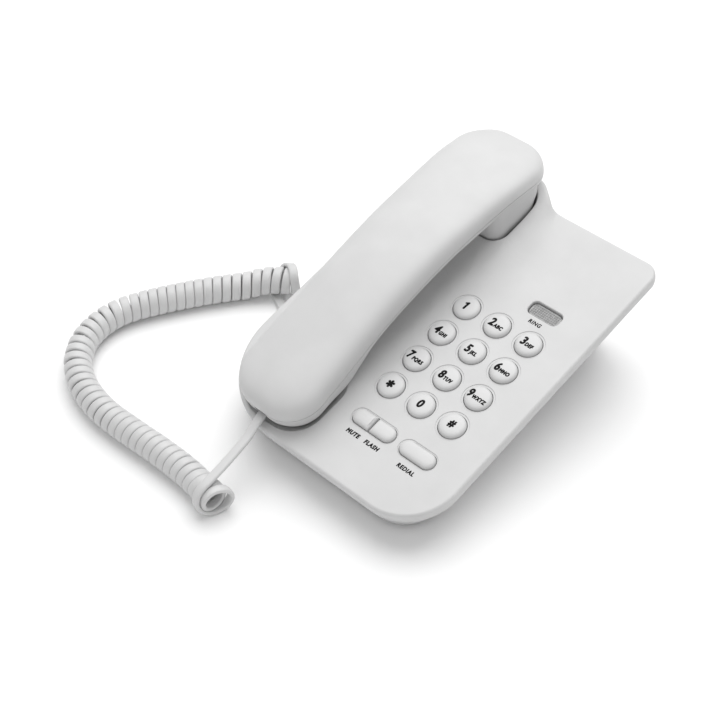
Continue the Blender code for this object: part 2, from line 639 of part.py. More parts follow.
def on_world(x, y, z):
    return Vector((FACE_AT[0] + x, FACE_AT[1] + y, z))


def build_plug(name, middle, outward, up):
    """A clear modular plug: body, and a latch tongue on its upper side; outward points along the cord."""
    outward, up = Vector(outward), Vector(up)
    side = outward.cross(up)
    body = box_mesh("body", (-3.85 * MM, -5.9 * MM, -3.3 * MM), (3.85 * MM, 5.9 * MM, 2.2 * MM))
    tongue = box_mesh("tongue", (-1.5 * MM, -4.6 * MM, 2.0 * MM), (1.5 * MM, 6.4 * MM, 3.2 * MM))
    mesh = combine(name, body, tongue, "UNION")
    turn = Matrix((side, outward, up)).transposed().to_4x4()
    made = finish_object(name, mesh, PLUG, None, middle)
    made.rotation_euler = turn.to_euler()
    return made


# --- feet and screws ----------------------------------------------------------------------------------

FEET = ((-86, -50), (24, -50), (8, 66), (-80, 94))


def build_feet_and_screws():
    for i, place in enumerate(FEET, 1):
        profile = [(r * MM, z * MM) for r, z in ((0, 2.0), (6.0, 2.0), (6.0, 0.5), (5.5, 0), (0, 0))]
        turned(f"rubber_foot_{i}", profile, RUBBER, None, (*boss_place(place), 0), 16)
    for i, place in enumerate(BOSSES, 1):
        shape = ((0, 16.0), (1.2, 16.0), (1.2, 3.7), (2.9, 3.7), (2.9, 2.4), (0, 2.4))
        profile = [(r * MM, z * MM) for r, z in shape]
        turned(f"base_screw_{i}", profile, METAL, None, (*boss_place(place), 0), 10)


# --- handset ------------------------------------------------------------------------------------------

def handset_outline(inset=0.0):
    """The handset's widest line in plan, each point with the spine point that it closes towards."""
    low, high = HANDSET_V[0] + inset, HANDSET_V[1] - inset
    radius = HANDSET_CORNER
    corner_steps = 5
    front_half, back_half = along(low, HALF_WIDTH) - inset, along(high, HALF_WIDTH) - inset
    right, left = [], []
    for k in range(corner_steps + 1):
        angle = -math.pi / 2 + math.pi / 2 * k / corner_steps
        right.append((front_half - radius * (1 - math.cos(angle)), low + radius * (1 + math.sin(angle))))
    for v in SIDE_STATIONS:
        place = v + inset if v > 60 * MM else v
        right.append((along(place, HALF_WIDTH) - inset, place))
    for k in range(corner_steps + 1):
        angle = math.pi / 2 * k / corner_steps
        right.append((back_half - radius * (1 - math.cos(angle)), high - radius * (1 - math.sin(angle))))
    left = [(-x, v) for x, v in reversed(right)]
    points = right + left
    spine = [(0, min(max(v, HANDSET_V[0] + 24 * MM), HANDSET_V[1] - 24 * MM)) for _, v in points]
    return points, spine


EAR_FRONT_CORNER = 5 * MM      # how far the ear block's front corners are rounded back
EAR_BACK_CORNER = 6 * MM       # the same at its back
MOUTH_LEAN = 2 * MM            # how far the mouth's end leans inwards over its depth
TOP_LEVELS = (1, 0.99, 0.965, 0.92, 0.85, 0.74, 0.5, 0)
LOW_LEVELS = (1, 0.999, 0.99, 0.96, 0.9, 0.8, 0.5, 0)


def handset_rings(levels, inset, shape):
    """Rings from the widest line (level 1) in to the spine (level 0); shape gives each point's height, its
    shift in v and its share of the width."""
    points, spine = handset_outline(inset)
    rings = []
    for level in levels:
        ring = []
        for (x, v), (spine_x, spine_v) in zip(points, spine):
            at_x, at_v = spine_x + (x - spine_x) * level, spine_v + (v - spine_v) * level
            n, shift, width = shape(at_x, at_v, level, inset)
            ring.append((HANDSET_U + at_x * width, at_v + shift, n))
        rings.append(ring)
    return rings


def upper_shape(x, v, level, inset):
    rise = along(v, CROWN) - inset
    return along(v, SEAM) + rise * (1 - level ** 2.8) ** (1 / 2.8), 0.0, 1.0


def lower_shape(x, v, level, inset):
    """Square below the handle and the ear, rounder under the mouth, with the sides drawn in a little."""
    by_ear = between(v, 56 * MM, 69 * MM) * (1 - between(v, 74 * MM, 90 * MM))
    corner = EAR_FRONT_CORNER * by_ear * between(level, 0.65, 1.0)
    seam = along(v + corner, SEAM) - GAP
    power = 3 + 3 * between(v, -55 * MM, -35 * MM)
    share = (1 - level ** power) ** (1 / power)
    under = v + EAR_BACK_CORNER * between(v, 82 * MM, 98 * MM) * (x / (26 * MM)) ** 4
    low = max(along(under - inset, UNDERSIDE), along(under + inset, UNDERSIDE)) + inset
    lean = MOUTH_LEAN * share * (1 - between(v, -85 * MM, -70 * MM))
    return seam - (seam - low) * share, corner + lean, 1 - 0.04 * share


def handset_shell(name, levels, shape):
    """The outer skin from the spine out to the seam, then the inner skin back to the spine."""
    outer = handset_rings(levels, 0, shape)
    inner = handset_rings(levels, HANDSET_WALL, shape)
    return loft(outer[::-1] + inner, name, cap_first=False, cap_last=False)


HANDSET_SCREWS_V = (0 * MM, 60 * MM)
JACK_N = 5.6 * MM
JACK_V = -80.2 * MM
JACK_HALF = (5.3 * MM, 4.4 * MM)


def handset_bores(radius, low, high):
    """Cylinders about the two screws, between two heights over the underside."""
    made = []
    for v in HANDSET_SCREWS_V:
        under = along(v, UNDERSIDE)
        made.append(disc_mesh("bore", radius, under + low, under + high, 12, (HANDSET_U, v)))
    return made


def handset_posts():
    """The upper half's two screw posts, which end inside its crown."""
    made = []
    for v in HANDSET_SCREWS_V:
        crown = along(v, SEAM) + along(v, CROWN) - 1 * MM
        made.append(disc_mesh("post", 2.6 * MM, along(v, UNDERSIDE) + 2.8 * MM, crown, 12, (HANDSET_U, v)))
    return made


def build_handset_shells():
    upper = handset_shell("upper", TOP_LEVELS, upper_shape)
    upper = combine("upper", upper, handset_posts(), "UNION")
    upper = combine("handset_top_shell", upper, handset_bores(1.3 * MM, 0, 9 * MM), "DIFFERENCE")
    finish_object("handset_top_shell", upper, SHELL, FACE_FRAME)

    lower = handset_shell("lower", LOW_LEVELS, lower_shape)
    half_u, half_n = JACK_HALF[0] + GAP, JACK_HALF[1] + GAP
    mouth = box_mesh("jack_hole", (HANDSET_U - half_u, -95 * MM, JACK_N - half_n),
                     (HANDSET_U + half_u, -75.5 * MM, JACK_N + half_n))
    cutters = [mouth, *handset_bores(1.4 * MM, -4 * MM, 5 * MM), *handset_bores(2.7 * MM, -4 * MM, 1.0 * MM)]
    lower = combine("handset_bottom_shell", lower, cutters, "DIFFERENCE")
    finish_object("handset_bottom_shell", lower, SHELL, FACE_FRAME)


def build_handset_inside():
    for i, v in enumerate(HANDSET_SCREWS_V, 1):
        under = along(v, UNDERSIDE) / MM
        shape = ((0, 8.0), (1.1, 8.0), (1.1, 0.7), (2.3, 0.7), (2.3, 0.1), (0, 0.1))
        profile = [(r * MM, (under + n) * MM) for r, n in shape]
        turned(f"handset_screw_{i}", profile, METAL, FACE_FRAME, (HANDSET_U, v, 0), 10)

    capsule = [(r * MM, n * MM) for r, n in ((0, 3.4), (6, 3.4), (6, 1.4), (10, 1.4), (10, -4.4), (0, -4.4))]
    turned("receiver", capsule, METAL, FACE_FRAME, (HANDSET_U, 88 * MM, 0), 20)
    capsule = [(r * MM, n * MM) for r, n in ((0, 2.0), (4.9, 2.0), (4.9, -3.0), (0, -3.0))]
    turned("microphone", capsule, METAL, FACE_FRAME, (HANDSET_U, -61 * MM, 0), 16)
    face_plate("handset_weight", HANDSET_U - 9 * MM, HANDSET_U + 9 * MM, 8 * MM, 50 * MM, 21.6 * MM, 26.6 * MM,
               METAL)

    half_u, half_n = JACK_HALF
    body = box_mesh("body", (HANDSET_U - half_u, JACK_V, JACK_N - half_n),
                    (HANDSET_U + half_u, JACK_V + 13 * MM, JACK_N + half_n))
    room = box_mesh("room", (HANDSET_U - 4.15 * MM, JACK_V - 4 * MM, JACK_N - 3.6 * MM),
                    (HANDSET_U + 4.15 * MM, JACK_V + 10.4 * MM, JACK_N + 3.6 * MM))
    finish_object("handset_jack", combine("handset_jack", body, room, "DIFFERENCE"), DARK, FACE_FRAME)
    turn = FACE.to_3x3()
    build_plug("handset_plug", on_face(HANDSET_U, JACK_V + 3.8 * MM, JACK_N), turn @ Vector((0, -1, 0)),
               turn @ Vector((0, 0, 1)))


# --- handset cord -------------------------------------------------------------------------------------

# Routes in plan from the face's origin and true height, in mm, from the base to the handset
BASE_TAIL = ((-101.2, -24, 14.45), (-106, -23.6, 14.0), (-112, -20.0, 9.6), (-119.5, -11.0, 4.0),
             (-126.8, -3.6, 1.9), (-132.3, -0.2, 1.8))
COIL_AXIS = ((-132.4, 12.1, 7.8), (-144, 2, 7.8), (-154, -10, 7.8), (-163, -22, 7.8), (-171, -34, 7.8),
             (-180, -49, 7.8), (-187, -63, 7.8), (-190, -74, 7.8), (-190, -85, 7.8), (-187, -96, 7.8),
             (-182, -104, 7.8), (-174, -112, 7.8), (-161, -119, 7.8), (-148, -122.5, 7.8), (-134, -124, 7.8),
             (-115, -123.5, 7.8), (-95, -122.5, 7.8), (-76, -122.5, 7.8), (-62, -124, 7.8), (-50, -126.2, 7.8))
HANDSET_TAIL = ((-55.0, -114, 21.4), (-55.9, -106, 22.8), (-56.9, -96, 25.2), (-58.2, -88.6, 28.0),
                (-59.5, -82.1, 29.5))


def smooth_route(points, spacing):
    """Points about a spacing apart on the Catmull-Rom curve through the route, as world points."""
    route = [on_world(x * MM, y * MM, z * MM) for x, y, z in points]
    route = [2 * route[0] - route[1], *route, 2 * route[-1] - route[-2]]
    made = [route[1]]
    for before, start, end, after in zip(route, route[1:], route[2:], route[3:]):
        steps = max(1, round((end - start).length / spacing))
        for k in range(1, steps + 1):
            t = k / steps
            first = (end - before) * t
            second = (2 * before - 5 * start + 4 * end - after) * t * t
            third = (3 * start - before - 3 * end + after) * t ** 3
            made.append(0.5 * (2 * start + first + second + third))
    return made


def tube(name, points, radius, slot, sides=2):
    curve = bpy.data.curves.new(name, "CURVE")
    curve.dimensions = "3D"
    curve.bevel_depth = radius
    curve.bevel_resolution = sides
    curve.use_fill_caps = True
    spline = curve.splines.new("POLY")
    spline.points.add(len(points) - 1)
    for knot, place in zip(spline.points, points):
        knot.co = (*place, 1)
    made = bpy.data.objects.new(name, curve)
    curve.materials.append(slot)
    PARTS.objects.link(made)
    return made


def build_cord():
    tube("cord_base_tail", smooth_route(BASE_TAIL, 5 * MM), TAIL_RADIUS, CORD)
    tube("cord_coil", smooth_route(COIL_AXIS, 11 * MM), COIL_RADIUS, CORD, 4)
    tube("cord_handset_tail", smooth_route(HANDSET_TAIL, 5 * MM), TAIL_RADIUS, CORD)


# --- the phone ----------------------------------------------------------------------------------------

clear_scene()
PARTS = new_collection(OBJECT)
CUTTERS = new_collection(OBJECT + "_cutters")
SHELL = material("shell", SHELL_GREY, 0.45)
KEYS = material("keys", KEY_GREY, 0.40)
CORD = material("cord", CORD_GREY, 0.45)
LENS = material("lens", LENS_GREY, 0.25)
BOARD = material("board", BOARD_GREEN, 0.5)
DARK = material("dark_plastic", DARK_PLASTIC, 0.5)
RUBBER = material("rubber", RUBBER_GREY, 0.8)
METAL = material("metal", STEEL, 0.3, metallic=1.0)
PLUG = material("clear_plug", CLEAR, 0.1, alpha=0.4)
FACE_FRAME = new_empty("face_frame", FACE_AT, SLOPE)

build_top_shell()
build_bottom_shell()
build_keys()
build_buttons()
build_lamp()
build_boards()
build_hook()
build_sockets()
build_feet_and_screws()
build_handset_shells()
build_handset_inside()
build_cord()
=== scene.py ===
import math

import bmesh
import bpy
from mathutils import Matrix, Vector


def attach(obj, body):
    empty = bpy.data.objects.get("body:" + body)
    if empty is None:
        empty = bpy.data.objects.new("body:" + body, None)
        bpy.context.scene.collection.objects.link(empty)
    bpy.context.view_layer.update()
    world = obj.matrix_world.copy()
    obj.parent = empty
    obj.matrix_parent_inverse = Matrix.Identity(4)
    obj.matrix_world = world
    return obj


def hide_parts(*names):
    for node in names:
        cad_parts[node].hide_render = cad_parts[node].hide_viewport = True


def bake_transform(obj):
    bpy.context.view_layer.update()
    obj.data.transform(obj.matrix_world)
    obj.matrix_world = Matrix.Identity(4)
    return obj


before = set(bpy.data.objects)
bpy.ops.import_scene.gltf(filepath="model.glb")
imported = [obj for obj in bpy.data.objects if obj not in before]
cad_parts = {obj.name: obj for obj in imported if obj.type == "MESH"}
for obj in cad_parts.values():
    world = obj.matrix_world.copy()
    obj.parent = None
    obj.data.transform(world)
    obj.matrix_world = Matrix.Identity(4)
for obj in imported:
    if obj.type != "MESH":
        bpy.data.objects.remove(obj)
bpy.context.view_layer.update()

MM = 0.001

# Face frame, as in the CAD: u to the right, v up the sloping keypad face, n out of it, all in mm
SLOPE = math.radians(12.0)
FACE_AT = (28.3, -16.46, 41.8)
FACE = Matrix.Translation([x * MM for x in FACE_AT]) @ Matrix.Rotation(SLOPE, 4, "X") @ Matrix.Scale(MM, 4)

# Camera: where it looks from, round the middle of the keys
CAMERA_AZIMUTH, CAMERA_ELEVATION, CAMERA_ROLL = 44.98, 45.91, -2.42
CAMERA_DISTANCE, CAMERA_RIGHT, CAMERA_UP = 755.3, -50.24, 2.75
CAMERA_LENS, CAMERA_SENSOR = 75.0, 36.0

# Lights, in metres and watts; both face the phone
SOFTBOX_AT, SOFTBOX_SIZE, SOFTBOX_POWER = (-0.3, 0.6, 1.5), 2.0, 26
FILL_AT, FILL_SIZE, FILL_POWER = (0.2, -1.4, 0.9), 1.6, 1.6
ROOM_LIGHT = 0.57
FLOOR_HALF_SIDE, FLOOR_DROP = 4.0, 0.1 * MM


def on_face(u, v, n=0.0):
    """A world point in metres."""
    return FACE @ Vector((u, v, n))


def on_plan(x, y, z):
    """A world point, given in plan from the face's origin and in true height, in mm."""
    return Vector(((FACE_AT[0] + x) * MM, (FACE_AT[1] + y) * MM, z * MM))


def between(x, low, high):
    """0 below low, 1 above high, smooth between."""
    x = min(max((x - low) / (high - low), 0.0), 1.0)
    return x * x * (3 - 2 * x)


def along(x, stops):
    """The value at x on a smooth curve through (place, value) stops, which never overshoots them."""
    if x <= stops[0][0] or x >= stops[-1][0]:
        return stops[0][1] if x <= stops[0][0] else stops[-1][1]
    slopes = [(y1 - y0) / (x1 - x0) for (x0, y0), (x1, y1) in zip(stops, stops[1:])]
    i = max(k for k in range(len(slopes)) if stops[k][0] <= x)
    low, high = slopes[max(i - 1, 0)], slopes[min(i + 1, len(slopes) - 1)]
    (x0, y0), (x1, y1) = stops[i], stops[i + 1]
    t = (x - x0) / (x1 - x0)
    leave, arrive = shared_slope(low, slopes[i]), shared_slope(slopes[i], high)
    curve = leave * t * (1 - t) ** 2 - arrive * t * t * (1 - t)
    return y0 + (y1 - y0) * t * t * (3 - 2 * t) + (x1 - x0) * curve


def shared_slope(before, after):
    return 0.0 if before * after <= 0 else 2 * before * after / (before + after)


# --- materials ----------------------------------------------------------------------------------------

def node(tree, kind, **settings):
    made = tree.nodes.new(kind)
    for key, value in settings.items():
        if key in made.inputs:
            made.inputs[key].default_value = value
        else:
            setattr(made, key, value)
    return made


def noise(tree, scale, detail=3.0):
    where = tree.nodes.get("Texture Coordinate") or tree.nodes.new("ShaderNodeTexCoord")
    made = node(tree, "ShaderNodeTexNoise", Scale=scale, Detail=detail)
    tree.links.new(where.outputs["Object"], made.inputs["Vector"])
    return made.outputs["Fac"]


def ramp(tree, factor, low, high):
    """A colour ramp between two colours over the middle of a noise."""
    made = tree.nodes.new("ShaderNodeValToRGB")
    for element, place, colour in zip(made.color_ramp.elements, (0.3, 0.7), (low, high)):
        element.position = place
        element.color = (*colour, 1)
    tree.links.new(factor, made.inputs["Fac"])
    return made.outputs["Color"]


def finish_material(name, low, high, gloss, grain, depth, mottle=60.0):
    """A surface whose colour drifts from low to high, with a fine grain in its bump and gloss."""
    made = bpy.data.materials.new(name)
    made.use_nodes = True
    tree = made.node_tree
    shader = tree.nodes["Principled BSDF"]
    tree.links.new(ramp(tree, noise(tree, mottle, 5.0), low, high), shader.inputs["Base Color"])
    fine = noise(tree, grain)
    rough = node(tree, "ShaderNodeMapRange")
    for socket, value in (("From Min", 0.3), ("From Max", 0.7), ("To Min", gloss[0]), ("To Max", gloss[1])):
        rough.inputs[socket].default_value = value
    tree.links.new(fine, rough.inputs["Value"])
    tree.links.new(rough.outputs["Result"], shader.inputs["Roughness"])
    bump = node(tree, "ShaderNodeBump", Strength=0.35, Distance=depth * MM)
    tree.links.new(fine, bump.inputs["Height"])
    tree.links.new(bump.outputs["Normal"], shader.inputs["Normal"])
    return made


def shader_of(material):
    return material.node_tree.nodes["Principled BSDF"]


def grey(value, warm=0.0):
    return value * (1 + warm), value, value * (1 - warm)


def make_materials():
    made = {
        "shell": finish_material("abs_shell", grey(0.575), grey(0.605), (0.42, 0.56), 1500, 0.02),
        "keys": finish_material("abs_keys", grey(0.60), grey(0.63), (0.36, 0.48), 1500, 0.015),
        "cord": finish_material("vinyl_cord", grey(0.585), grey(0.62), (0.40, 0.54), 1200, 0.02, 90.0),
        "lens": finish_material("smoked_lens", grey(0.29), grey(0.39), (0.12, 0.22), 700, 0.02, 400.0),
        "board": finish_material("fibreglass_board", (0.03, 0.14, 0.06), (0.05, 0.20, 0.09), (0.35, 0.5),
                                 2500, 0.02, 300.0),
        "dark_plastic": finish_material("dark_nylon", grey(0.018), grey(0.035), (0.40, 0.58), 1500, 0.03),
        "rubber": finish_material("foot_rubber", grey(0.035), grey(0.06), (0.70, 0.88), 1800, 0.06),
        "metal": finish_material("plated_steel", grey(0.52, 0.01), grey(0.62, 0.01), (0.22, 0.36), 2200,
                                 0.01),
        "clear_plug": finish_material("clear_polycarbonate", grey(0.80), grey(0.88), (0.05, 0.12), 500, 0.01),
        "ink": finish_material("black_ink", grey(0.006), grey(0.014), (0.45, 0.60), 2500, 0.01, 500.0),
    }
    shader_of(made["metal"]).inputs["Metallic"].default_value = 1.0
    shader_of(made["ink"]).inputs["Specular IOR Level"].default_value = 0.08
    clear = shader_of(made["clear_plug"])
    clear.inputs["Transmission Weight"].default_value = 0.75
    clear.inputs["IOR"].default_value = 1.58
    return made


MATERIALS = make_materials()


def repaint_frame():
    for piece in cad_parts.values():
        for place in piece.material_slots:
            place.material = MATERIALS[place.material.name.split(".")[0]]


# --- objects from meshes ------------------------------------------------------------------------------

def piece(name, mesh, slot, body, *stands_for, material=None, sharp=35):
    """A shown object in the world's frame, which moves with a CAD body."""
    made = bpy.data.objects.new(name, mesh)
    bpy.context.scene.collection.objects.link(made)
    mesh.materials.clear()
    mesh.materials.append(MATERIALS[material or slot])
    mesh.shade_smooth()
    mesh.set_sharp_from_angle(angle=math.radians(sharp))
    if body:
        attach(made, body)
    if stands_for:
        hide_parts(*stands_for)
    return made


def mesh_from(bm, name):
    bmesh.ops.remove_doubles(bm, verts=bm.verts, dist=2e-6)
    bmesh.ops.recalc_face_normals(bm, faces=bm.faces)
    mesh = bpy.data.meshes.new(name)
    bm.to_mesh(mesh)
    bm.free()
    return mesh


def loft(rings, name, cap_first=True, cap_last=True):
    """A skin over rings of equal length; an uncapped end has closed up on itself."""
    bm = bmesh.new()
    rows = [[bm.verts.new(p) for p in ring] for ring in rings]
    count = len(rows[0])
    for low, high in zip(rows, rows[1:]):
        for i in range(count):
            j = (i + 1) % count
            bm.faces.new((low[i], low[j], high[j], high[i]))
    if cap_first:
        bm.faces.new(reversed(rows[0]))
    if cap_last:
        bm.faces.new(rows[-1])
    return mesh_from(bm, name)


# --- camera, light and floor --------------------------------------------------------------------------

def build_camera():
    azimuth, elevation, roll = (math.radians(x) for x in (CAMERA_AZIMUTH, CAMERA_ELEVATION, CAMERA_ROLL))
    back = Vector((math.sin(azimuth) * math.cos(elevation), -math.cos(azimuth) * math.cos(elevation),
                   math.sin(elevation)))
    level = Vector((0, 0, 1)).cross(back).normalized()
    right = math.cos(roll) * level + math.sin(roll) * back.cross(level)
    up = back.cross(right)
    place = Vector(FACE_AT) + CAMERA_DISTANCE * back + CAMERA_RIGHT * right + CAMERA_UP * up
    data = bpy.data.cameras.new("camera")
    data.lens, data.sensor_width = CAMERA_LENS, CAMERA_SENSOR
    data.clip_start, data.clip_end = 0.05, 20
    camera = bpy.data.objects.new("camera", data)
    turn = Matrix((right, up, back)).transposed().to_4x4()
    camera.matrix_world = Matrix.Translation(place * MM) @ turn
    bpy.context.scene.collection.objects.link(camera)
    bpy.context.scene.camera = camera


def area_light(name, place, size, power):
    """A round light that faces the world's origin."""
    data = bpy.data.lights.new(name, "AREA")
    data.shape = "DISK"
    data.size = size
    data.energy = power
    made = bpy.data.objects.new(name, data)
    made.location = place
    made.rotation_euler = (-Vector(place)).to_track_quat("-Z", "Y").to_euler()
    bpy.context.scene.collection.objects.link(made)


def build_studio():
    area_light("softbox", SOFTBOX_AT, SOFTBOX_SIZE, SOFTBOX_POWER)
    area_light("fill", FILL_AT, FILL_SIZE, FILL_POWER)
    world = bpy.data.worlds.new("studio")
    bpy.context.scene.world = world
    world.use_nodes = True
    shade = world.node_tree.nodes["Background"]
    shade.inputs["Color"].default_value = (1, 1, 1, 1)
    shade.inputs["Strength"].default_value = ROOM_LIGHT
    bpy.context.scene.view_settings.view_transform = "Standard"

    bm = bmesh.new()
    bmesh.ops.create_grid(bm, x_segments=2, y_segments=2, size=FLOOR_HALF_SIDE)
    bmesh.ops.translate(bm, vec=(0, 0, -FLOOR_DROP), verts=bm.verts)
    mesh = bpy.data.meshes.new("floor")
    bm.to_mesh(mesh)
    bm.free()
    floor = bpy.data.objects.new("floor", mesh)
    paper = finish_material("floor_paper", grey(0.93), grey(0.95), (0.85, 0.95), 300, 0.01, 3.0)
    mesh.materials.append(paper)
    bpy.context.scene.collection.objects.link(floor)


# --- handset cord -------------------------------------------------------------------------------------

# Routes in plan from the face's origin and true height, in mm, from the base to the handset
BASE_TAIL = ((-101.2, -24, 14.45), (-106, -23.6, 14.0), (-112, -20.0, 9.6), (-119.5, -11.0, 4.0),
             (-126.8, -3.6, 1.9), (-132.3, -0.2, 1.8))
COIL_AXIS_Z = 7.8
COIL_AXIS = [(x, y, COIL_AXIS_Z) for x, y in (
    (-132.4, 12.1), (-144, 2), (-154, -10), (-163, -22), (-171, -34), (-180, -49), (-187, -63), (-190, -74),
    (-190, -85), (-187, -96), (-182, -104), (-174, -112), (-161, -119), (-148, -122.5), (-134, -124),
    (-115, -123.5), (-95, -122.5), (-76, -122.5), (-62, -124), (-50, -126.2))]
HANDSET_TAIL = ((-54.8, -119, 20.5), (-55.9, -106, 22.8), (-56.9, -96, 25.2), (-58.2, -88.6, 28.0),
                (-59.5, -82.1, 29.5))
RIBBON_WIDTH, RIBBON_THICKNESS, RIBBON_CORNER, CORNER_STEPS = 5.0, 2.3, 0.95, 3
COIL_RADIUS = 6.6
TURN_STEPS = 24
AXIS_STEP, TAIL_STEP = 0.25, 2.0
BEND_SPAN, HEADING_SPAN = 20, 8      # in axis steps to each side
COIL_PITCH = ((0, 6.2), (35, 5.7), (60, 5.2), (400, 5.2))      # along the axis, where nothing bends
# Each end is doubled back outside the coil: how much wider and higher, and its place along the axis by turn
END_GROWTH = 2.35
BASE_WRAP = ((-1.0, 12.0), (-0.75, 7.5), (-0.5, 0.5), (-0.25, -1.2), (0, 0))
MOUTH_WRAP = ((0, 0), (0.25, 1.3), (0.5, -0.6), (0.75, -3.2), (0.96, -4.2))


def smooth_route(route, spacing):
    """Points about a spacing apart on the Catmull-Rom curve through the route."""
    route = [Vector(p) for p in route]
    route = [2 * route[0] - route[1], *route, 2 * route[-1] - route[-2]]
    made = [route[1]]
    for before, start, end, after in zip(route, route[1:], route[2:], route[3:]):
        steps = max(1, round((end - start).length / spacing))
        for k in range(1, steps + 1):
            t = k / steps
            first = (end - before) * t
            second = (2 * before - 5 * start + 4 * end - after) * t * t
            third = (3 * start - before - 3 * end + after) * t ** 3
            made.append(0.5 * (2 * start + first + second + third))
    return made


def turn_counts(axis):
    """How many turns the coil has made by each point of its axis; the turns open where the axis bends."""
    counts, travelled = [0.0], 0.0
    for i in range(1, len(axis)):
        step = (axis[i] - axis[i - 1]).length
        travelled += step
        first = axis[i] - axis[max(i - BEND_SPAN, 0)]
        last = axis[min(i + BEND_SPAN, len(axis) - 1)] - axis[i]
        bend = first.angle(last, 0) / (0.5 * (first.length + last.length) + 1e-9)
        pitch = max(along(travelled, COIL_PITCH), RIBBON_WIDTH * 1.03 / (1 - COIL_RADIUS * bend))
        counts.append(counts[-1] + step / pitch)
    turns = round(counts[-1] + 0.5) - 0.5
    return [count * turns / counts[-1] for count in counts], turns


def coil_places():
    """The coil with the wraps at its ends, as points and directions of the ribbon's width."""
    axis = smooth_route(COIL_AXIS, AXIS_STEP)
    counts, turns = turn_counts(axis)
    places, wide = [], []

    def add(middle, ahead, angle, growth):
        places.append(middle + Vector((0, 0, END_GROWTH)) * growth[0]
                      + spoke(ahead, angle) * (COIL_RADIUS + END_GROWTH * growth[1]))
        wide.append(ahead)

    for k in range(-TURN_STEPS, 0):
        turn = k / TURN_STEPS
        slide = along(turn, BASE_WRAP)
        i = max(round(slide / AXIS_STEP), 0)
        ahead = heading(axis, i)
        add(axis[i] + ahead * min(slide, 0), ahead, math.pi + 2 * math.pi * turn,
            (1, 1 - between(turn, -0.5, -0.22)))
    i = 0
    for k in range(round(turns * TURN_STEPS) + 1):
        turn = k / TURN_STEPS
        while i < len(axis) - 2 and counts[i + 1] < turn:
            i += 1
        share = min(max((turn - counts[i]) / (counts[i + 1] - counts[i]), 0), 1)
        # The turns at both ends lie on the wraps, a little higher
        raised = 1 - between(turn, 2.2, 5.0) + between(turn, turns - 3.2, turns - 0.3)
        add(axis[i].lerp(axis[i + 1], share), heading(axis, i), math.pi + 2 * math.pi * turn, (raised, 0))
    for k in range(1, TURN_STEPS):
        turn = k / TURN_STEPS
        ahead = heading(axis, len(axis) - 1)
        add(axis[-1] + ahead * along(turn, MOUTH_WRAP), ahead, 2 * math.pi * turn,
            (1, between(turn, 0.0, 0.36)))
    return places, wide


def heading(axis, i):
    return (axis[min(i + HEADING_SPAN, len(axis) - 1)] - axis[max(i - HEADING_SPAN, 0)]).normalized()


def spoke(ahead, angle):
    """A unit vector across the coil's axis; the angle runs from the top over to the left."""
    side = Vector((0, 0, 1)).cross(ahead).normalized()
    return Vector((0, 0, 1)) * math.cos(angle) + side * math.sin(angle)


def nearest(points, place):
    return min(range(len(points)), key=lambda i: (points[i] - place).length)


def cord_places():
    """The whole cord, plug to plug."""
    places, wide = coil_places()
    first = smooth_route([*BASE_TAIL, places[0], places[2]], TAIL_STEP)
    first = first[:nearest(first, places[0]) + 1]
    last = smooth_route([places[-3], places[-1], *HANDSET_TAIL], TAIL_STEP)
    last = last[nearest(last, places[-1]):]
    flat = [Vector((0, 0, 1)).cross(b - a).normalized() for a, b in zip(first, first[1:])]
    end_flat = [(b - a).cross(Vector((0, 0, 1))).normalized() for a, b in zip(last, last[1:])]
    return first[:-1] + places + last[1:], flat + wide + end_flat


def ribbon_section():
    """A rounded rectangle as (across, through) in mm."""
    points = []
    for turn, (x, y) in enumerate(((1, 1), (-1, 1), (-1, -1), (1, -1))):
        middle_x = x * (RIBBON_WIDTH / 2 - RIBBON_CORNER)
        middle_y = y * (RIBBON_THICKNESS / 2 - RIBBON_CORNER)
        for k in range(CORNER_STEPS + 1):
            angle = math.pi / 2 * (turn + k / CORNER_STEPS)
            points.append((middle_x + RIBBON_CORNER * math.cos(angle),
                           middle_y + RIBBON_CORNER * math.sin(angle)))
    return points


def build_cord():
    places, wide = cord_places()
    section = ribbon_section()
    rings = []
    for i, (place, across) in enumerate(zip(places, wide)):
        ahead = (places[min(i + 1, len(places) - 1)] - places[max(i - 1, 0)]).normalized()
        across = (across - ahead * across.dot(ahead)).normalized()
        through = ahead.cross(across)
        rings.append([on_plan(*(place + across * a + through * t)) for a, t in section])
    cord = piece("handset_cord", loft(rings, "handset_cord"), "cord", None,
                 "cord_coil", "cord_base_tail", "cord_handset_tail", sharp=60)
    route = [on_plan(*place) for place in places]
    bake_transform(cord)


# --- the base's outlines and cover --------------------------------------------------------------------

# Corners of the base's outline in the face frame, from the front left round to the back left
LEFT, RIGHT, FRONT, BACK, REST_BACK = -103.3, 46.7, -88.0, 106.4, 117.5
STEP_RIGHT, STEP_LEFT = -24.0, -38.0
CORNER_RADII = (50, 30, 9, 8, 12, 26)
ARC_STEPS = (20, 16, 10, 6, 8, 14)
RIM_DEPTH, STRIP_DEPTH, HULL_DEPTH = 4.2, 6.1, 6.8
FLOOR_Z, FLOOR_TOP_Z, HULL_FOOT_Z = 2.3, 5.4, 5.0
WALL, GAP = 2.2, 0.3
FOOT_CORNERS = ((-97.3, -76.8), (36.2, -76.8), (18.2, 99.0), (-34.0, 99.0), (-44.0, 107.0), (-93.0, 107.0))
FOOT_RADII = (34, 20, 8, 6, 8, 14)
EDGE_ROUND = 1.7

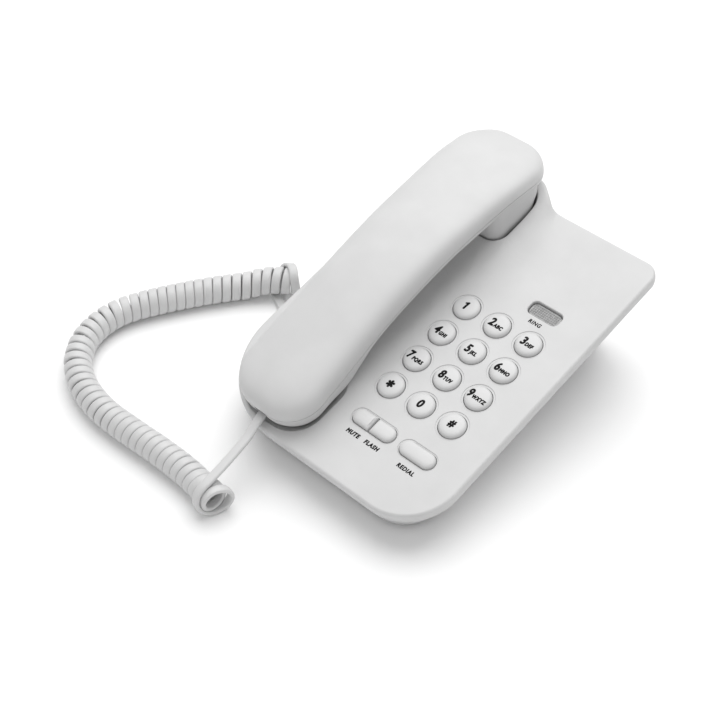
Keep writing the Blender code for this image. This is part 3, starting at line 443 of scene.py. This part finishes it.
KEY_PITCH_U, KEY_PITCH_V = 20.3, 19.85
KEY_HOLE_RADIUS, KEY_RING_RADIUS = 7.55, 8.5
PILL_HALF_WIDTH, PILL_V = 4.4, -52.5
TWIN_PILL_U, TWIN_PILL_HALF_LENGTH = -11.3, 13.3
REDIAL_U, REDIAL_HALF_LENGTH = 17.3, 10.6
TWIN_SPLIT_U, TWIN_SPLIT_GAP = -11.7, 1.0
PILL_HOLE_GAP, PILL_RING_GAP = 0.4, 0.9
LENS_AT, LENS_SIZE, LENS_WINDOW_GAP = (14.9, 50.1), (18.0, 7.6), 0.55
PLUNGER_AT, PLUNGER_SIZE, PLUNGER_HOLE_GAP = (-59.5, 79.0), (12, 6), 0.3
HOLE_RIM, WINDOW_RIM, EAR_RIM, MOUTH_RIM = 0.3, 0.6, 0.9, 1.2      # radii of the openings' edges
BOSSES = ((-89, 8), (24, -66), (12, 84), (-87, 58))
SCREW_HOLE, SCREW_HEAD_HOLE = 1.5, 3.4

HANDSET_U = -59.5
# Corners of each cup's right half, front to back: distance from the handset's middle line, v and radius
EAR_CUP = ((27.2, 69.6, 9), (27.2, 113.0, 14))
MOUTH_CUP = ((22.7, -82.6, 17), (22.7, -47.5, 12), (12.0, -29.5, 8))
# How far each cup has narrowed half way down and at its floor, as (n, inset)
EAR_DRAFT = ((-4, 1.5), (-8, 4))
MOUTH_DRAFT = ((-3, 3), (-6, 7))

# Bends of the keypad face: heights, and where each starts and ends going left (-u) and up (v)
EAR_RISE, REST_RISE, SCOOP_DEPTH = 2.5, 2.5, 4.0
RISE_SIDE, EAR_RISE_V, REST_RISE_V = (18, 31), (35, 75), (88, 112)
SCOOP_RIGHT, SCOOP_LEFT, SCOOP_FRONT, SCOOP_BACK = (34, 48), (72, 88), (-22, 0), (48, 66)


def rounded_polygon(corners, radii, segments):
    """Counter-clockwise outline with an arc in each corner, as (x, y) points."""
    points = []
    count = len(corners)
    for i, (corner, radius, steps) in enumerate(zip(corners, radii, segments)):
        here = Vector(corner)
        to_last = (Vector(corners[i - 1]) - here).normalized()
        to_next = (Vector(corners[(i + 1) % count]) - here).normalized()
        half_angle = to_last.angle(to_next) / 2
        centre = here + (to_last + to_next).normalized() * (radius / math.sin(half_angle))
        start = here + to_last * (radius / math.tan(half_angle)) - centre
        outward = 1 if to_last.cross(to_next) < 0 else -1
        turn = outward * (math.pi - 2 * half_angle)
        for k in range(steps + 1):
            turned = Matrix.Rotation(turn * k / steps, 2) @ start
            points.append(tuple(centre + turned))
    return points


def box_corners(low_u, high_u, low_v, high_v):
    return (low_u, low_v), (high_u, low_v), (high_u, high_v), (low_u, high_v)


def shrunk(corners, radii, inset):
    """The six-cornered plan moved inwards all round; its fourth corner is the hollow one."""
    across = (1, -1, -1, -0.4, -0.4, 1)
    forward = (1, 1, -1, -1, -1, -1)
    moved = [(x + a * inset, y + f * inset) for (x, y), a, f in zip(corners, across, forward)]
    turned_in = (-1, -1, -1, 1, -1, -1)
    return rounded_polygon(moved, [r + s * inset for r, s in zip(radii, turned_in)], ARC_STEPS)


def base_outline(inset=0.0):
    corners = ((LEFT, FRONT), (RIGHT, FRONT), (RIGHT, BACK), (STEP_RIGHT, BACK), (STEP_LEFT, REST_BACK),
               (LEFT, REST_BACK))
    return shrunk(corners, CORNER_RADII, inset)


def face_ring(outline, n):
    return [(u, v, n) for u, v in outline]


def face_height(u, v):
    """The cover's height over the keypad face: a low rise round the ear cup, a little higher behind it, and a
    shallow scoop for fingers under the handle."""
    rise = EAR_RISE * between(v, *EAR_RISE_V) + REST_RISE * between(v, *REST_RISE_V)
    scoop = SCOOP_DEPTH * between(v, *SCOOP_FRONT) * (1 - between(v, *SCOOP_BACK))
    middle = between(-u, *SCOOP_RIGHT) * (1 - between(-u, *SCOOP_LEFT))
    return between(-u, *RISE_SIDE) * rise - scoop * middle


def combine(name, first, seconds, operation):
    """The boolean of a mesh with one or several others."""
    objects = []
    for mesh in (first, *seconds):
        made = bpy.data.objects.new("helper", mesh)
        bpy.context.scene.collection.objects.link(made)
        objects.append(made)
    for tool in objects[1:]:
        step = objects[0].modifiers.new("join", "BOOLEAN")
        step.operation = operation
        step.object = tool
    graph = bpy.context.evaluated_depsgraph_get()
    result = bpy.data.meshes.new_from_object(objects[0].evaluated_get(graph))
    result.name = name
    for used in objects:
        bpy.data.objects.remove(used, do_unlink=True)
    return result


def circle(at, radius, sides=48):
    turns = [2 * math.pi * k / sides for k in range(sides)]
    return [(at[0] + radius * math.cos(t), at[1] + radius * math.sin(t)) for t in turns]


def plate_outline(at, size, radius, steps=8):
    """A rounded rectangle about a middle point."""
    half_u, half_v = size[0] / 2, size[1] / 2
    corners = box_corners(at[0] - half_u, at[0] + half_u, at[1] - half_v, at[1] + half_v)
    return rounded_polygon(corners, [radius] * 4, [steps] * 4)


def pill_outline(u, half_length, grow):
    width = 2 * (PILL_HALF_WIDTH + grow)
    return plate_outline((u, PILL_V), (2 * (half_length + grow), width), width * 0.499, 10)


def cup_outline(cup, grow):
    """The cup's outline in the face frame, grown all round."""
    right = [(half + grow, v + (-grow if i == 0 else grow), radius + grow)
             for i, (half, v, radius) in enumerate(cup)]
    both = right + [(-half, v, radius) for half, v, radius in reversed(right)]
    corners = [(HANDSET_U + half, v) for half, v, _ in both]
    return rounded_polygon(corners, [radius for _, _, radius in both], [10] * len(both))


# An opening's rounded edge: the angles round its arc, then the run and rise of the slope that leaves it
FLARE_DEGREES, FLARE_RUN, FLARE_RISE = (0, 20, 40, 60, 78), 2.2, 0.47
CUTTER_FOOT, GROOVE_DEPTH = -4, 0.35
STRIP_WIDTH = 3.5
CUP_WALL, EAR_CUP_FLOOR, MOUTH_CUP_FLOOR = 2, 2.2, 2


def flare(radius):
    """(grow, n) up a rounded rim, from straight below it to a flat slope over the surface."""
    made = []
    for degrees in FLARE_DEGREES:
        turn = math.radians(degrees)
        made.append((radius * (1 - math.cos(turn)), radius * (math.sin(turn) - 1)))
    made.append((made[-1][0] + FLARE_RUN, made[-1][1] + FLARE_RISE))
    return made


def rim_cutter(outline_at, radius):
    """A cutter with a rounded rim; outline_at gives the opening's outline for a growth."""
    rings = [face_ring(outline_at(0.0), CUTTER_FOOT)]
    rings += [face_ring(outline_at(grow), n) for grow, n in flare(radius)]
    return loft(rings, "cutter")


def ring_groove(outline_at):
    """A shallow step round an opening."""
    rings = [face_ring(outline_at(0.0), -GROOVE_DEPTH), face_ring(outline_at(0.10), -GROOVE_DEPTH * 0.4),
             face_ring(outline_at(0.5), GROOVE_DEPTH)]
    return loft(rings, "groove")


def key_places():
    for row, names in enumerate((("1", "2", "3"), ("4", "5", "6"), ("7", "8", "9"), ("star", "0", "hash"))):
        for column, name in enumerate(names):
            yield name, (column - 1) * KEY_PITCH_U, (1.5 - row) * KEY_PITCH_V


def cup_block(cup, draft, floor):
    """The solid that a cup is hollowed from; floor is the thickness under it."""
    (middle_n, middle_inset), (floor_n, floor_inset) = draft
    rings = [face_ring(cup_outline(cup, CUP_WALL), -1.0),
             face_ring(cup_outline(cup, CUP_WALL - middle_inset), middle_n),
             face_ring(cup_outline(cup, CUP_WALL - floor_inset), floor_n - floor)]
    return loft(rings, "cup_block")


def cup_room(cup, draft, rim):
    """The room in a cup, with a rounded rim and a rounded foot."""
    (middle_n, middle_inset), (floor_n, floor_inset) = draft
    rings = [face_ring(cup_outline(cup, -floor_inset), floor_n),
             face_ring(cup_outline(cup, 0.4 - floor_inset), floor_n + 0.12),
             face_ring(cup_outline(cup, 0.8 - floor_inset), floor_n + 0.6),
             face_ring(cup_outline(cup, -middle_inset), middle_n)]
    rings += [face_ring(cup_outline(cup, grow), n) for grow, n in flare(rim)]
    return loft(rings, "cup_room")


def cover_cutters():
    def round_hole(at, radius):
        return lambda grow: circle(at, radius + grow)

    def pill_hole(u, half_length, gap):
        return lambda grow: pill_outline(u, half_length, gap + grow)

    def lens_window(grow):
        return plate_outline(LENS_AT, [side + 2 * LENS_WINDOW_GAP + 2 * grow for side in LENS_SIZE], 3 + grow)

    made = [cup_room(EAR_CUP, EAR_DRAFT, EAR_RIM), cup_room(MOUTH_CUP, MOUTH_DRAFT, MOUTH_RIM)]
    for _, u, v in key_places():
        made.append(ring_groove(round_hole((u, v), KEY_RING_RADIUS)))
        made.append(rim_cutter(round_hole((u, v), KEY_HOLE_RADIUS), HOLE_RIM))
    for u, half_length in ((TWIN_PILL_U, TWIN_PILL_HALF_LENGTH), (REDIAL_U, REDIAL_HALF_LENGTH)):
        made.append(ring_groove(pill_hole(u, half_length, PILL_RING_GAP)))
        made.append(rim_cutter(pill_hole(u, half_length, PILL_HOLE_GAP), HOLE_RIM))
    made.append(rim_cutter(lens_window, WINDOW_RIM))
    slot = plate_outline(PLUNGER_AT, [side + 2 * PLUNGER_HOLE_GAP for side in PLUNGER_SIZE], 1.5)
    made.append(loft([face_ring(slot, -12), face_ring(slot, -7)], "plunger_hole"))
    return made


def lid_rings():
    """The cover's skin from the middle of its underside out round the rim to its top."""
    rings = [face_ring(base_outline(2.6), -WALL), face_ring(base_outline(WALL - 0.3), -RIM_DEPTH),
             face_ring(base_outline(0.25), -RIM_DEPTH), face_ring(base_outline(0.0), -RIM_DEPTH + 0.3)]
    for degrees in range(0, 91, 15):
        turn = math.radians(degrees)
        rings.append(face_ring(base_outline(EDGE_ROUND * (1 - math.cos(turn))),
                               EDGE_ROUND * (math.sin(turn) - 1)))
    return rings


def cut_into_strips(mesh, across_u, across_v):
    """Cuts every face along lines of constant u and v, so that the flat cover can be bent."""
    bm = bmesh.new()
    bm.from_mesh(mesh)
    bmesh.ops.triangulate(bm, faces=[f for f in bm.faces if len(f.verts) > 4])
    for axis, places in ((0, across_u), (1, across_v)):
        for place in places:
            at, normal = Vector((0, 0, 0)), Vector((0, 0, 0))
            at[axis], normal[axis] = place, 1
            bmesh.ops.bisect_plane(bm, geom=bm.verts[:] + bm.edges[:] + bm.faces[:], dist=1e-4, plane_co=at,
                                   plane_no=normal)
    bm.to_mesh(mesh)
    bm.free()


def even_shading(made):
    weigh = made.modifiers.new("even_shading", "WEIGHTED_NORMAL")
    weigh.keep_sharp = True


def build_cover():
    cups = [cup_block(EAR_CUP, EAR_DRAFT, EAR_CUP_FLOOR), cup_block(MOUTH_CUP, MOUTH_DRAFT, MOUTH_CUP_FLOOR)]
    lid = combine("cover", loft(lid_rings(), "lid"), cups, "UNION")
    cover = combine("base_cover", lid, cover_cutters(), "DIFFERENCE")
    lines_u = [-104 + STRIP_WIDTH * k for k in range(26)]
    lines_v = [-24 + STRIP_WIDTH * k for k in range(41)]
    cut_into_strips(cover, lines_u, lines_v)
    for vertex in cover.vertices:
        u, v, n = vertex.co
        bent = min(max((n + 4) / 3, 0), 1)      # full down to 1 mm below the face, none from 4 mm
        vertex.co.z = n + face_height(u, v) * bent
    cover.transform(FACE)
    even_shading(piece("base_cover", cover, "shell", "base", "base_top_shell", sharp=38))


# --- the base's lower case ----------------------------------------------------------------------------

# Openings in the walls: where each is along its wall and its height, its size, and how far through it runs
LINE_JACK_AT, LINE_JACK_SIZE, LINE_JACK_Y = (-20, 16), (14, 13), (88, 108)
CORD_JACK_AT, CORD_JACK_SIZE, CORD_JACK_X = (-24, 15), (10.6, 9.2), (-106, -90)
SWITCH_AT, SWITCH_HALF_SIZE, SWITCH_TRAVEL, SWITCH_Y = (2, 30), (2.8, 2), 5, (90, 112)


def foot_ring(inset, height):
    return [on_plan(x, y, height) for x, y in shrunk(FOOT_CORNERS, FOOT_RADII, inset)]


def rim_ring(inset, depth):
    return [on_face(u, v, -depth) for u, v in base_outline(inset)]


def plan_box(name, low, high):
    bm = bmesh.new()
    bmesh.ops.create_cube(bm, size=1.0)
    low, high = on_plan(*low), on_plan(*high)
    bmesh.ops.scale(bm, vec=high - low, verts=bm.verts)
    bmesh.ops.translate(bm, vec=(low + high) / 2, verts=bm.verts)
    return mesh_from(bm, name)


def upright_tube(at, radius, low, high):
    """A cylinder in plan place, in true height."""
    return loft([[on_plan(x, y, z) for x, y in circle(at, radius, 24)] for z in (low, high)], "bore")


def case_cutters():
    x, z = LINE_JACK_AT
    half_w, half_h = (side / 2 + GAP for side in LINE_JACK_SIZE)
    low_y, high_y = LINE_JACK_Y
    made = [plan_box("hole", (x - half_w, low_y, z - half_h), (x + half_w, high_y, z + half_h))]
    y, z = CORD_JACK_AT
    half_w, half_h = (side / 2 + GAP for side in CORD_JACK_SIZE)
    low_x, high_x = CORD_JACK_X
    made.append(plan_box("hole", (low_x, y - half_w, z - half_h), (high_x, y + half_w, z + half_h)))
    x, z = SWITCH_AT
    half_w, half_h = SWITCH_HALF_SIZE
    low_y, high_y = SWITCH_Y
    made.append(plan_box("hole", (x - half_w, low_y, z - half_h),
                         (x + half_w + SWITCH_TRAVEL, high_y, z + half_h)))
    for place in BOSSES:
        made.append(upright_tube(place, SCREW_HOLE, 1, 9))
        made.append(upright_tube(place, SCREW_HEAD_HOLE, 1, 4.0))
    return made


def build_case():
    outside = [rim_ring(0.3, RIM_DEPTH + GAP), rim_ring(0.3, STRIP_DEPTH - 0.3), rim_ring(0.5, STRIP_DEPTH),
               rim_ring(1.5, HULL_DEPTH), foot_ring(0, HULL_FOOT_Z), foot_ring(0.3, HULL_FOOT_Z - 1.0),
               foot_ring(1.0, HULL_FOOT_Z - 2.0), foot_ring(2.2, FLOOR_Z)]
    inside = [foot_ring(3.4, FLOOR_TOP_Z), foot_ring(WALL, HULL_FOOT_Z + 1.8), rim_ring(3.2, HULL_DEPTH),
              rim_ring(2.6, RIM_DEPTH + GAP)]
    case = combine("base_case", loft(inside + outside, "hull"), case_cutters(), "DIFFERENCE")
    even_shading(piece("base_case", case, "shell", "base", "base_bottom_shell"))


# --- keys, buttons, legends and lamp ------------------------------------------------------------------

KEY_DOME = ((0, 2.05), (1.5, 2.03), (3.0, 1.97), (4.4, 1.86), (5.4, 1.70), (6.1, 1.46), (6.6, 1.12),
            (6.95, 0.65), (7.1, 0.15))
KEY_SIDE = ((7.15, -0.4), (7.15, -2.6), (8.6, -2.6), (8.6, -3.7), (0, -3.7))
KEY_LETTERS = {"2": "ABC", "3": "DEF", "4": "GHI", "5": "JKL", "6": "MNO", "7": "PQRS", "8": "TUV",
               "9": "WXYZ"}
KEY_SIGNS = {"star": "*", "hash": "#"}
# The slanted stroke that the digit 1 starts with
ONE_FLAG = ((0.5, 1.1), (0.5, 2.5), (0.0, 2.5), (-1.5, 1.6), (-1.4, 0.8))

# Lettering: size, how far the strokes are thickened, and how narrow it is
DIGIT_STYLE, LETTERS_STYLE = (6.7, 0.33, 0.88), (3.0, 0.21, 0.80)
LONE_STYLE, HASH_STYLE, STAR_STYLE = (6.6, 0.33, 0.9), (5.8, 0.33, 0.9), (9.5, 0.42, 0.9)
LEGEND_V, LEGEND_GAP = -2.2, 0.1
WORD_SIZE, WORD_NARROW = 3.2, 0.9
WORDS = (("MUTE", -17.0, -62.1, 0.19), ("FLASH", -4.7, -62.0, 0.19), ("REDIAL", 18.0, -62.2, 0.155),
         ("RING", 14.6, 42.2, 0.12))
SHEAR, LETTER_SPACING = 0.12, 1.16
INK_LIFT = 0.05
BUTTON_LEVELS = ((1.2, -3.7), (1.2, -2.6), (0, -2.6), (0, 0.2), (-0.12, 0.75), (-0.45, 1.2), (-1.0, 1.55),
                 (-1.8, 1.78), (-2.8, 1.88), (-3.9, 1.92))


def dome_height(radius):
    return along(radius, KEY_DOME)


def turned(name, profile, at):
    """A closed body of revolution on the face; the profile of (radius, n) runs from top to bottom."""
    rings = [[on_face(*p) for p in face_ring(circle(at, radius), n)] for radius, n in profile]
    return loft(rings, name, cap_first=False, cap_last=False)


def build_keys():
    for name, u, v in key_places():
        cap = turned(f"keycap_{name}", KEY_DOME + KEY_SIDE, (u, v))
        piece(f"keycap_{name}", cap, "keys", f"key_{name}", f"key_{name}")
        sign = KEY_SIGNS.get(name, name)
        if name in KEY_LETTERS:
            parts = [letter_mesh(sign, *DIGIT_STYLE), letter_mesh(KEY_LETTERS[name], *LETTERS_STYLE)]
            digit_width, word_width = mesh_width(parts[0]), mesh_width(parts[1])
            start = -(digit_width + LEGEND_GAP + word_width) / 2
            shift_mesh(parts[0], start - mesh_low(parts[0]), LEGEND_V)
            shift_mesh(parts[1], start + digit_width + LEGEND_GAP - mesh_low(parts[1]), LEGEND_V)
        else:
            parts = [letter_mesh(sign, *{"star": STAR_STYLE, "hash": HASH_STYLE}.get(name, LONE_STYLE))]
            centre_mesh(parts[0])
        if name == "1":
            parts.append(loft([[(u, v, side) for u, v in ONE_FLAG] for side in (-1, 1)], "flag"))
        print_on_key(name, parts, (u, v))


def letter_mesh(text, size, weight, narrow):
    """Bold lettering in mm, on the line v = 0, from 1 at its upper side down to -1 at its lower side."""
    curve = bpy.data.curves.new("lettering", "FONT")
    curve.body = text
    curve.size = size
    curve.extrude = 1.0
    curve.resolution_u = 3
    curve.shear = SHEAR
    curve.space_character = LETTER_SPACING
    holder = bpy.data.objects.new("lettering", curve)
    bpy.context.scene.collection.objects.link(holder)
    graph = bpy.context.evaluated_depsgraph_get()
    thin = bpy.data.meshes.new_from_object(holder.evaluated_get(graph))
    bpy.data.objects.remove(holder, do_unlink=True)
    thin.transform(Matrix.Diagonal((narrow, 1, 1, 1)))
    bm = bmesh.new()
    for k in range(8):
        turn = math.pi / 4 * k
        step = Vector((weight * math.cos(turn), weight * math.sin(turn), 0))
        shifted = thin.copy()
        shifted.transform(Matrix.Translation(step))
        bm.from_mesh(shifted)
        bpy.data.meshes.remove(shifted)
    bold = bpy.data.meshes.new("lettering")
    bm.to_mesh(bold)
    bm.free()
    return bold


def mesh_low(mesh):
    return min(vertex.co.x for vertex in mesh.vertices)


def mesh_width(mesh):
    return max(vertex.co.x for vertex in mesh.vertices) - mesh_low(mesh)


def shift_mesh(mesh, u, v):
    mesh.transform(Matrix.Translation((u, v, 0)))


def centre_mesh(mesh):
    low_v = min(vertex.co.y for vertex in mesh.vertices)
    high_v = max(vertex.co.y for vertex in mesh.vertices)
    shift_mesh(mesh, -mesh_low(mesh) - mesh_width(mesh) / 2, -(low_v + high_v) / 2)


def inked(name, parts, place):
    """One thin printed layer from letter meshes; place turns a flat point and a lift into a world point."""
    bm = bmesh.new()
    for mesh in parts:
        bm.from_mesh(mesh)
    for vertex in bm.verts:
        vertex.co = place(vertex.co.x, vertex.co.y, INK_LIFT * vertex.co.z)
    return mesh_from(bm, name)


def print_on_key(name, parts, at):
    """Lays lettering over a key's dome, in strips narrow enough to follow it."""
    lines = [-6.6 + 0.6 * k for k in range(23)]
    for mesh in parts:
        cut_into_strips(mesh, lines, lines)

    def place(u, v, lift):
        return on_face(at[0] + u, at[1] + v, dome_height(math.hypot(u, v)) + lift)
    made = inked(f"legend_{name}", parts, place)
    piece(f"legend_{name}", made, "dark_plastic", f"key_{name}", material="ink")


def print_labels():
    """The words beside the buttons and the lamp, each centred on its place."""
    for text, u, v, weight in WORDS:
        mesh = letter_mesh(text, WORD_SIZE, weight, WORD_NARROW)
        centre_mesh(mesh)
        name = f"label_{text.lower()}"
        made = inked(name, [mesh], lambda x, y, lift, at=(u, v): on_face(at[0] + x, at[1] + y, lift))
        piece(name, made, "dark_plastic", "base", material="ink")


def build_button(name, low_u, high_u, left_round, right_round):
    """A pill or half pill with a domed top; a square end has no flange, because its neighbour is there."""
    rings = []
    for grow, n in BUTTON_LEVELS:
        half_v = PILL_HALF_WIDTH + grow
        left = grow if left_round or grow < 0 else 0
        right = grow if right_round or grow < 0 else 0
        if not left_round:
            left = max(left, -1.0)
        if not right_round:
            right = max(right, -1.0)
        corners = box_corners(low_u - left, high_u + right, PILL_V - half_v, PILL_V + half_v)
        left_end, right_end = (half_v * 0.998 if is_round else min(0.4, half_v * 0.5)
                               for is_round in (left_round, right_round))
        outline = rounded_polygon(corners, (left_end, right_end, right_end, left_end), [10] * 4)
        rings.append([on_face(u, v, n) for u, v in outline])
    piece(f"{name}_cap", loft(rings, name), "keys", name, name)


def build_buttons():
    low, high = TWIN_PILL_U - TWIN_PILL_HALF_LENGTH, TWIN_PILL_U + TWIN_PILL_HALF_LENGTH
    build_button("mute_button", low, TWIN_SPLIT_U - TWIN_SPLIT_GAP / 2, True, False)
    build_button("flash_button", TWIN_SPLIT_U + TWIN_SPLIT_GAP / 2, high, False, True)
    build_button("redial_button", REDIAL_U - REDIAL_HALF_LENGTH, REDIAL_U + REDIAL_HALF_LENGTH, True, True)


LENS_FLANGE, LENS_TOP_INSET = 1.2, 0.4
PYRAMID_PITCH, PYRAMID_HALF, PYRAMID_FOOT_N, PYRAMID_TIP_N = 1.25, 0.47, -1.55, -1.0


def build_lens():
    """The lamp's lens: a plate whose top is a field of small pyramids."""
    flange = [side + 2 * LENS_FLANGE for side in LENS_SIZE]
    inner = [side - 2 * LENS_TOP_INSET for side in LENS_SIZE]
    rings = [face_ring(plate_outline(LENS_AT, size, radius), n)
             for size, radius, n in ((flange, 2.8, -3.5), (flange, 2.8, -2.5), (LENS_SIZE, 2.8, -2.5),
                                     (LENS_SIZE, 2.8, -1.6), (inner, 2.4, -1.5))]
    plate = loft(rings, "lens_plate")
    across, up = (int(side / PYRAMID_PITCH) for side in inner)
    bm = bmesh.new()
    bm.from_mesh(plate)
    for i in range(across):
        for j in range(up):
            u, v = (i - (across - 1) / 2) * PYRAMID_PITCH, (j - (up - 1) / 2) * PYRAMID_PITCH
            if math.hypot(max(abs(u) - inner[0] / 2 + 2.4, 0), max(abs(v) - inner[1] / 2 + 2.4, 0)) > 2.0:
                continue      # outside the plate's rounded corner
            u, v, half = u + LENS_AT[0], v + LENS_AT[1], PYRAMID_PITCH * PYRAMID_HALF
            foot = [bm.verts.new((x, y, PYRAMID_FOOT_N))
                    for x, y in box_corners(u - half, u + half, v - half, v + half)]
            tip = bm.verts.new((u, v, PYRAMID_TIP_N))
            bm.faces.new(reversed(foot))
            for k in range(4):
                bm.faces.new((foot[k], foot[(k + 1) % 4], tip))
    mesh = bpy.data.meshes.new("lamp_lens")
    bm.to_mesh(mesh)
    bm.free()
    mesh.transform(FACE)
    piece("lamp_lens", mesh, "lens", "base", "ring_lens", sharp=20)


# --- handset ------------------------------------------------------------------------------------------

HANDSET_LOW, HANDSET_HIGH, HANDSET_CORNER, HANDSET_WALL = -83.5, 124.0, 20, 2.0
# Along the handset by v: its half width, the seam's n, the crown's rise over the seam, and the underside's n
HALF_WIDTH = ((-67, 25.5), (-15, 24.4), (40, 25.1), (90, 27.0))
SEAM = ((-86, 8.6), (-50, 13.2), (0, 20.8), (40, 23.5), (80, 21.8), (118, 15.0))
CROWN = ((-86, 11.0), (-40, 12.8), (0, 12.6), (40, 11.3), (80, 9.7), (118, 8.7))
UNDERSIDE = ((-52, -5.7), (-44, -2), (-34, 5), (-22, 12.5), (-5, 16.3), (20, 18.3), (60, 19.0), (80, 18.2),
             (118, 11.4))
# The block under the ear: height, half width, low and high v
EAR_BLOCK = ((8, 26.6, 70.1, 113.5), (4, 26.2, 70.3, 111.3), (0, 25.8, 70.6, 110.2),
             (-3.5, 25.0, 71.3, 108.6), (-5.8, 23.4, 72.8, 106.6), (-7.2, 20.9, 75.2, 104.1),
             (-7.7, 17.9, 78.0, 101.3))
EAR_BLOCK_RADII, EAR_BLOCK_TOP = (7, 7, 13, 13), 2.2      # its top is this far below the seam
TOP_LEVELS = (1, 0.9985, 0.995, 0.989, 0.98, 0.968, 0.953, 0.935, 0.912, 0.885, 0.85, 0.805, 0.745, 0.66,
              0.54, 0.38, 0.2, 0)
LOW_LEVELS = (1, 0.9995, 0.998, 0.994, 0.987, 0.975, 0.96, 0.94, 0.91, 0.87, 0.8, 0.7, 0.5, 0.25, 0)
CROWN_POWER, SPINE_END = 3.7, 24
PLUG_HOLE_N, PLUG_HOLE_SIZE, PLUG_HOLE_V = 5.0, (8.6, 7.4), (-75.5, -95)
HANDSET_SCREWS_V, SCREW_SHANK, SCREW_HEAD = (0, 60), 1.4, 2.7
RECEIVER_V, RECEIVER_RINGS, RECEIVER_HOLE = 88, ((0, 1), (4.2, 6), (8.4, 12)), 0.95
MICROPHONE_V, MICROPHONE_HOLE = -61, 0.8


def handset_outline(inset=0.0):
    """The handset's widest line in plan, each point with the spine point that it closes towards."""
    low, high, radius = HANDSET_LOW + inset, HANDSET_HIGH - inset, HANDSET_CORNER
    front_half, back_half = along(low, HALF_WIDTH) - inset, along(high, HALF_WIDTH) - inset
    corner_steps, side_steps = 12, 83

    def corner(half, v, start):
        for k in range(corner_steps + 1):
            angle = start + math.pi / 2 * k / corner_steps
            yield half - radius + radius * math.cos(angle), v + radius * math.sin(angle)

    right = list(corner(front_half, low + radius, -math.pi / 2))
    for k in range(1, side_steps):
        place = low + radius + (high - low - 2 * radius) * k / side_steps
        right.append((along(place, HALF_WIDTH) - inset, place))
    right += corner(back_half, high - radius, 0)
    points = right + [(-x, v) for x, v in reversed(right)]
    spine = [(0, min(max(v, HANDSET_LOW + SPINE_END), HANDSET_HIGH - SPINE_END)) for _, v in points]
    return points, spine


def handset_rings(levels, inset, shape):
    """Rings from the widest line (level 1) in to the spine (level 0); shape gives each point's height, its
    shift in v and its share of the width."""
    points, spine = handset_outline(inset)
    rings = []
    for level in levels:
        ring = []
        for (x, v), (spine_x, spine_v) in zip(points, spine):
            at_x, at_v = spine_x + (x - spine_x) * level, spine_v + (v - spine_v) * level
            n, shift, width = shape(at_v, level, inset)
            ring.append((HANDSET_U + at_x * width, at_v + shift, n))
        rings.append(ring)
    return rings


def upper_shape(v, level, inset):
    """A flat crown with round shoulders."""
    rise = along(v, CROWN) - inset
    return along(v, SEAM) + rise * (1 - level ** CROWN_POWER) ** (1 / CROWN_POWER), 0.0, 1.0


def lower_shape(v, level, inset):
    """Square below the handle, rounder under the mouth, with the sides drawn in a little."""
    seam = along(v, SEAM) - GAP
    power = 3 + 3 * between(v, -55, -35) + 8 * between(v, 40, 66)
    share = (1 - level ** power) ** (1 / power)
    low = max(along(v - inset, UNDERSIDE), along(v + inset, UNDERSIDE)) + inset
    lean = 2 * share * (1 - between(v, -85, -70))
    return seam - (seam - low) * share, lean, 1 - 0.006 * (seam - low) * share


def ear_block(inset, rise):
    """The block under the ear; it ends in the handle's wall, or above it for the hollow."""
    rings = []
    for n, half, low, high in EAR_BLOCK:
        half, low, high = half - inset, low + inset, high - inset
        radii = [radius - inset for radius in EAR_BLOCK_RADII]
        outline = rounded_polygon(box_corners(-half, half, low, high), radii, [8] * 4)
        outline = [(HANDSET_U + u * along(v, HALF_WIDTH) / HALF_WIDTH[-1][1], v) for u, v in outline]
        if not rings:
            rings.append([(u, v, along(v, SEAM) - EAR_BLOCK_TOP + rise) for u, v in outline])
        rings.append(face_ring(outline, n + inset))
    return loft(rings, "ear_block")


def handset_shell(name, levels, shape):
    """The outer skin from the spine out to the seam, then the inner skin back to the spine."""
    outer = handset_rings(levels, 0, shape)
    inner = handset_rings(levels, HANDSET_WALL, shape)
    return loft(outer[::-1] + inner, name, cap_first=False, cap_last=False)


def face_tube(at, radius, low, high, sides=20):
    return loft([face_ring(circle(at, radius, sides), n) for n in (low, high)], "bore")


def sound_holes():
    """Rings of holes under the ear, and a short row under the mouth."""
    made = []
    for radius, count in RECEIVER_RINGS:
        for k in range(count):
            turn = 2 * math.pi * k / count
            at = (HANDSET_U + radius * math.cos(turn), RECEIVER_V + radius * math.sin(turn))
            made.append(face_tube(at, RECEIVER_HOLE, -9.5, -4.8, 12))
    for k in range(3):
        made.append(face_tube((HANDSET_U + 4 * (k - 1), MICROPHONE_V), MICROPHONE_HOLE, -8, -2.5, 12))
    return made


def build_handset():
    upper = handset_shell("upper", TOP_LEVELS, upper_shape)
    upper.transform(FACE)
    piece("handset_upper", upper, "shell", "handset", "handset_top_shell", sharp=50)

    lower = combine("lower", handset_shell("lower", LOW_LEVELS, lower_shape), [ear_block(0, 0)], "UNION")
    opening = plate_outline((HANDSET_U, PLUG_HOLE_N), PLUG_HOLE_SIZE, 0.6, 3)
    plug_hole = loft([[(u, v, n) for u, n in opening] for v in PLUG_HOLE_V], "plug_hole")
    cutters = [ear_block(HANDSET_WALL, 1.4), plug_hole, *sound_holes()]
    for v in HANDSET_SCREWS_V:
        under = along(v, UNDERSIDE)
        cutters.append(face_tube((HANDSET_U, v), SCREW_SHANK, under - 4, under + 5))
        cutters.append(face_tube((HANDSET_U, v), SCREW_HEAD, under - 4, under + 1.0))
    lower = combine("lower", lower, cutters, "DIFFERENCE")
    lower.transform(FACE)
    piece("handset_lower", lower, "shell", "handset", "handset_bottom_shell", sharp=50)


# --- the phone ----------------------------------------------------------------------------------------

build_camera()
build_studio()
repaint_frame()
build_cord()
build_cover()
build_case()
build_keys()
print_labels()
build_buttons()
build_lens()
build_handset()
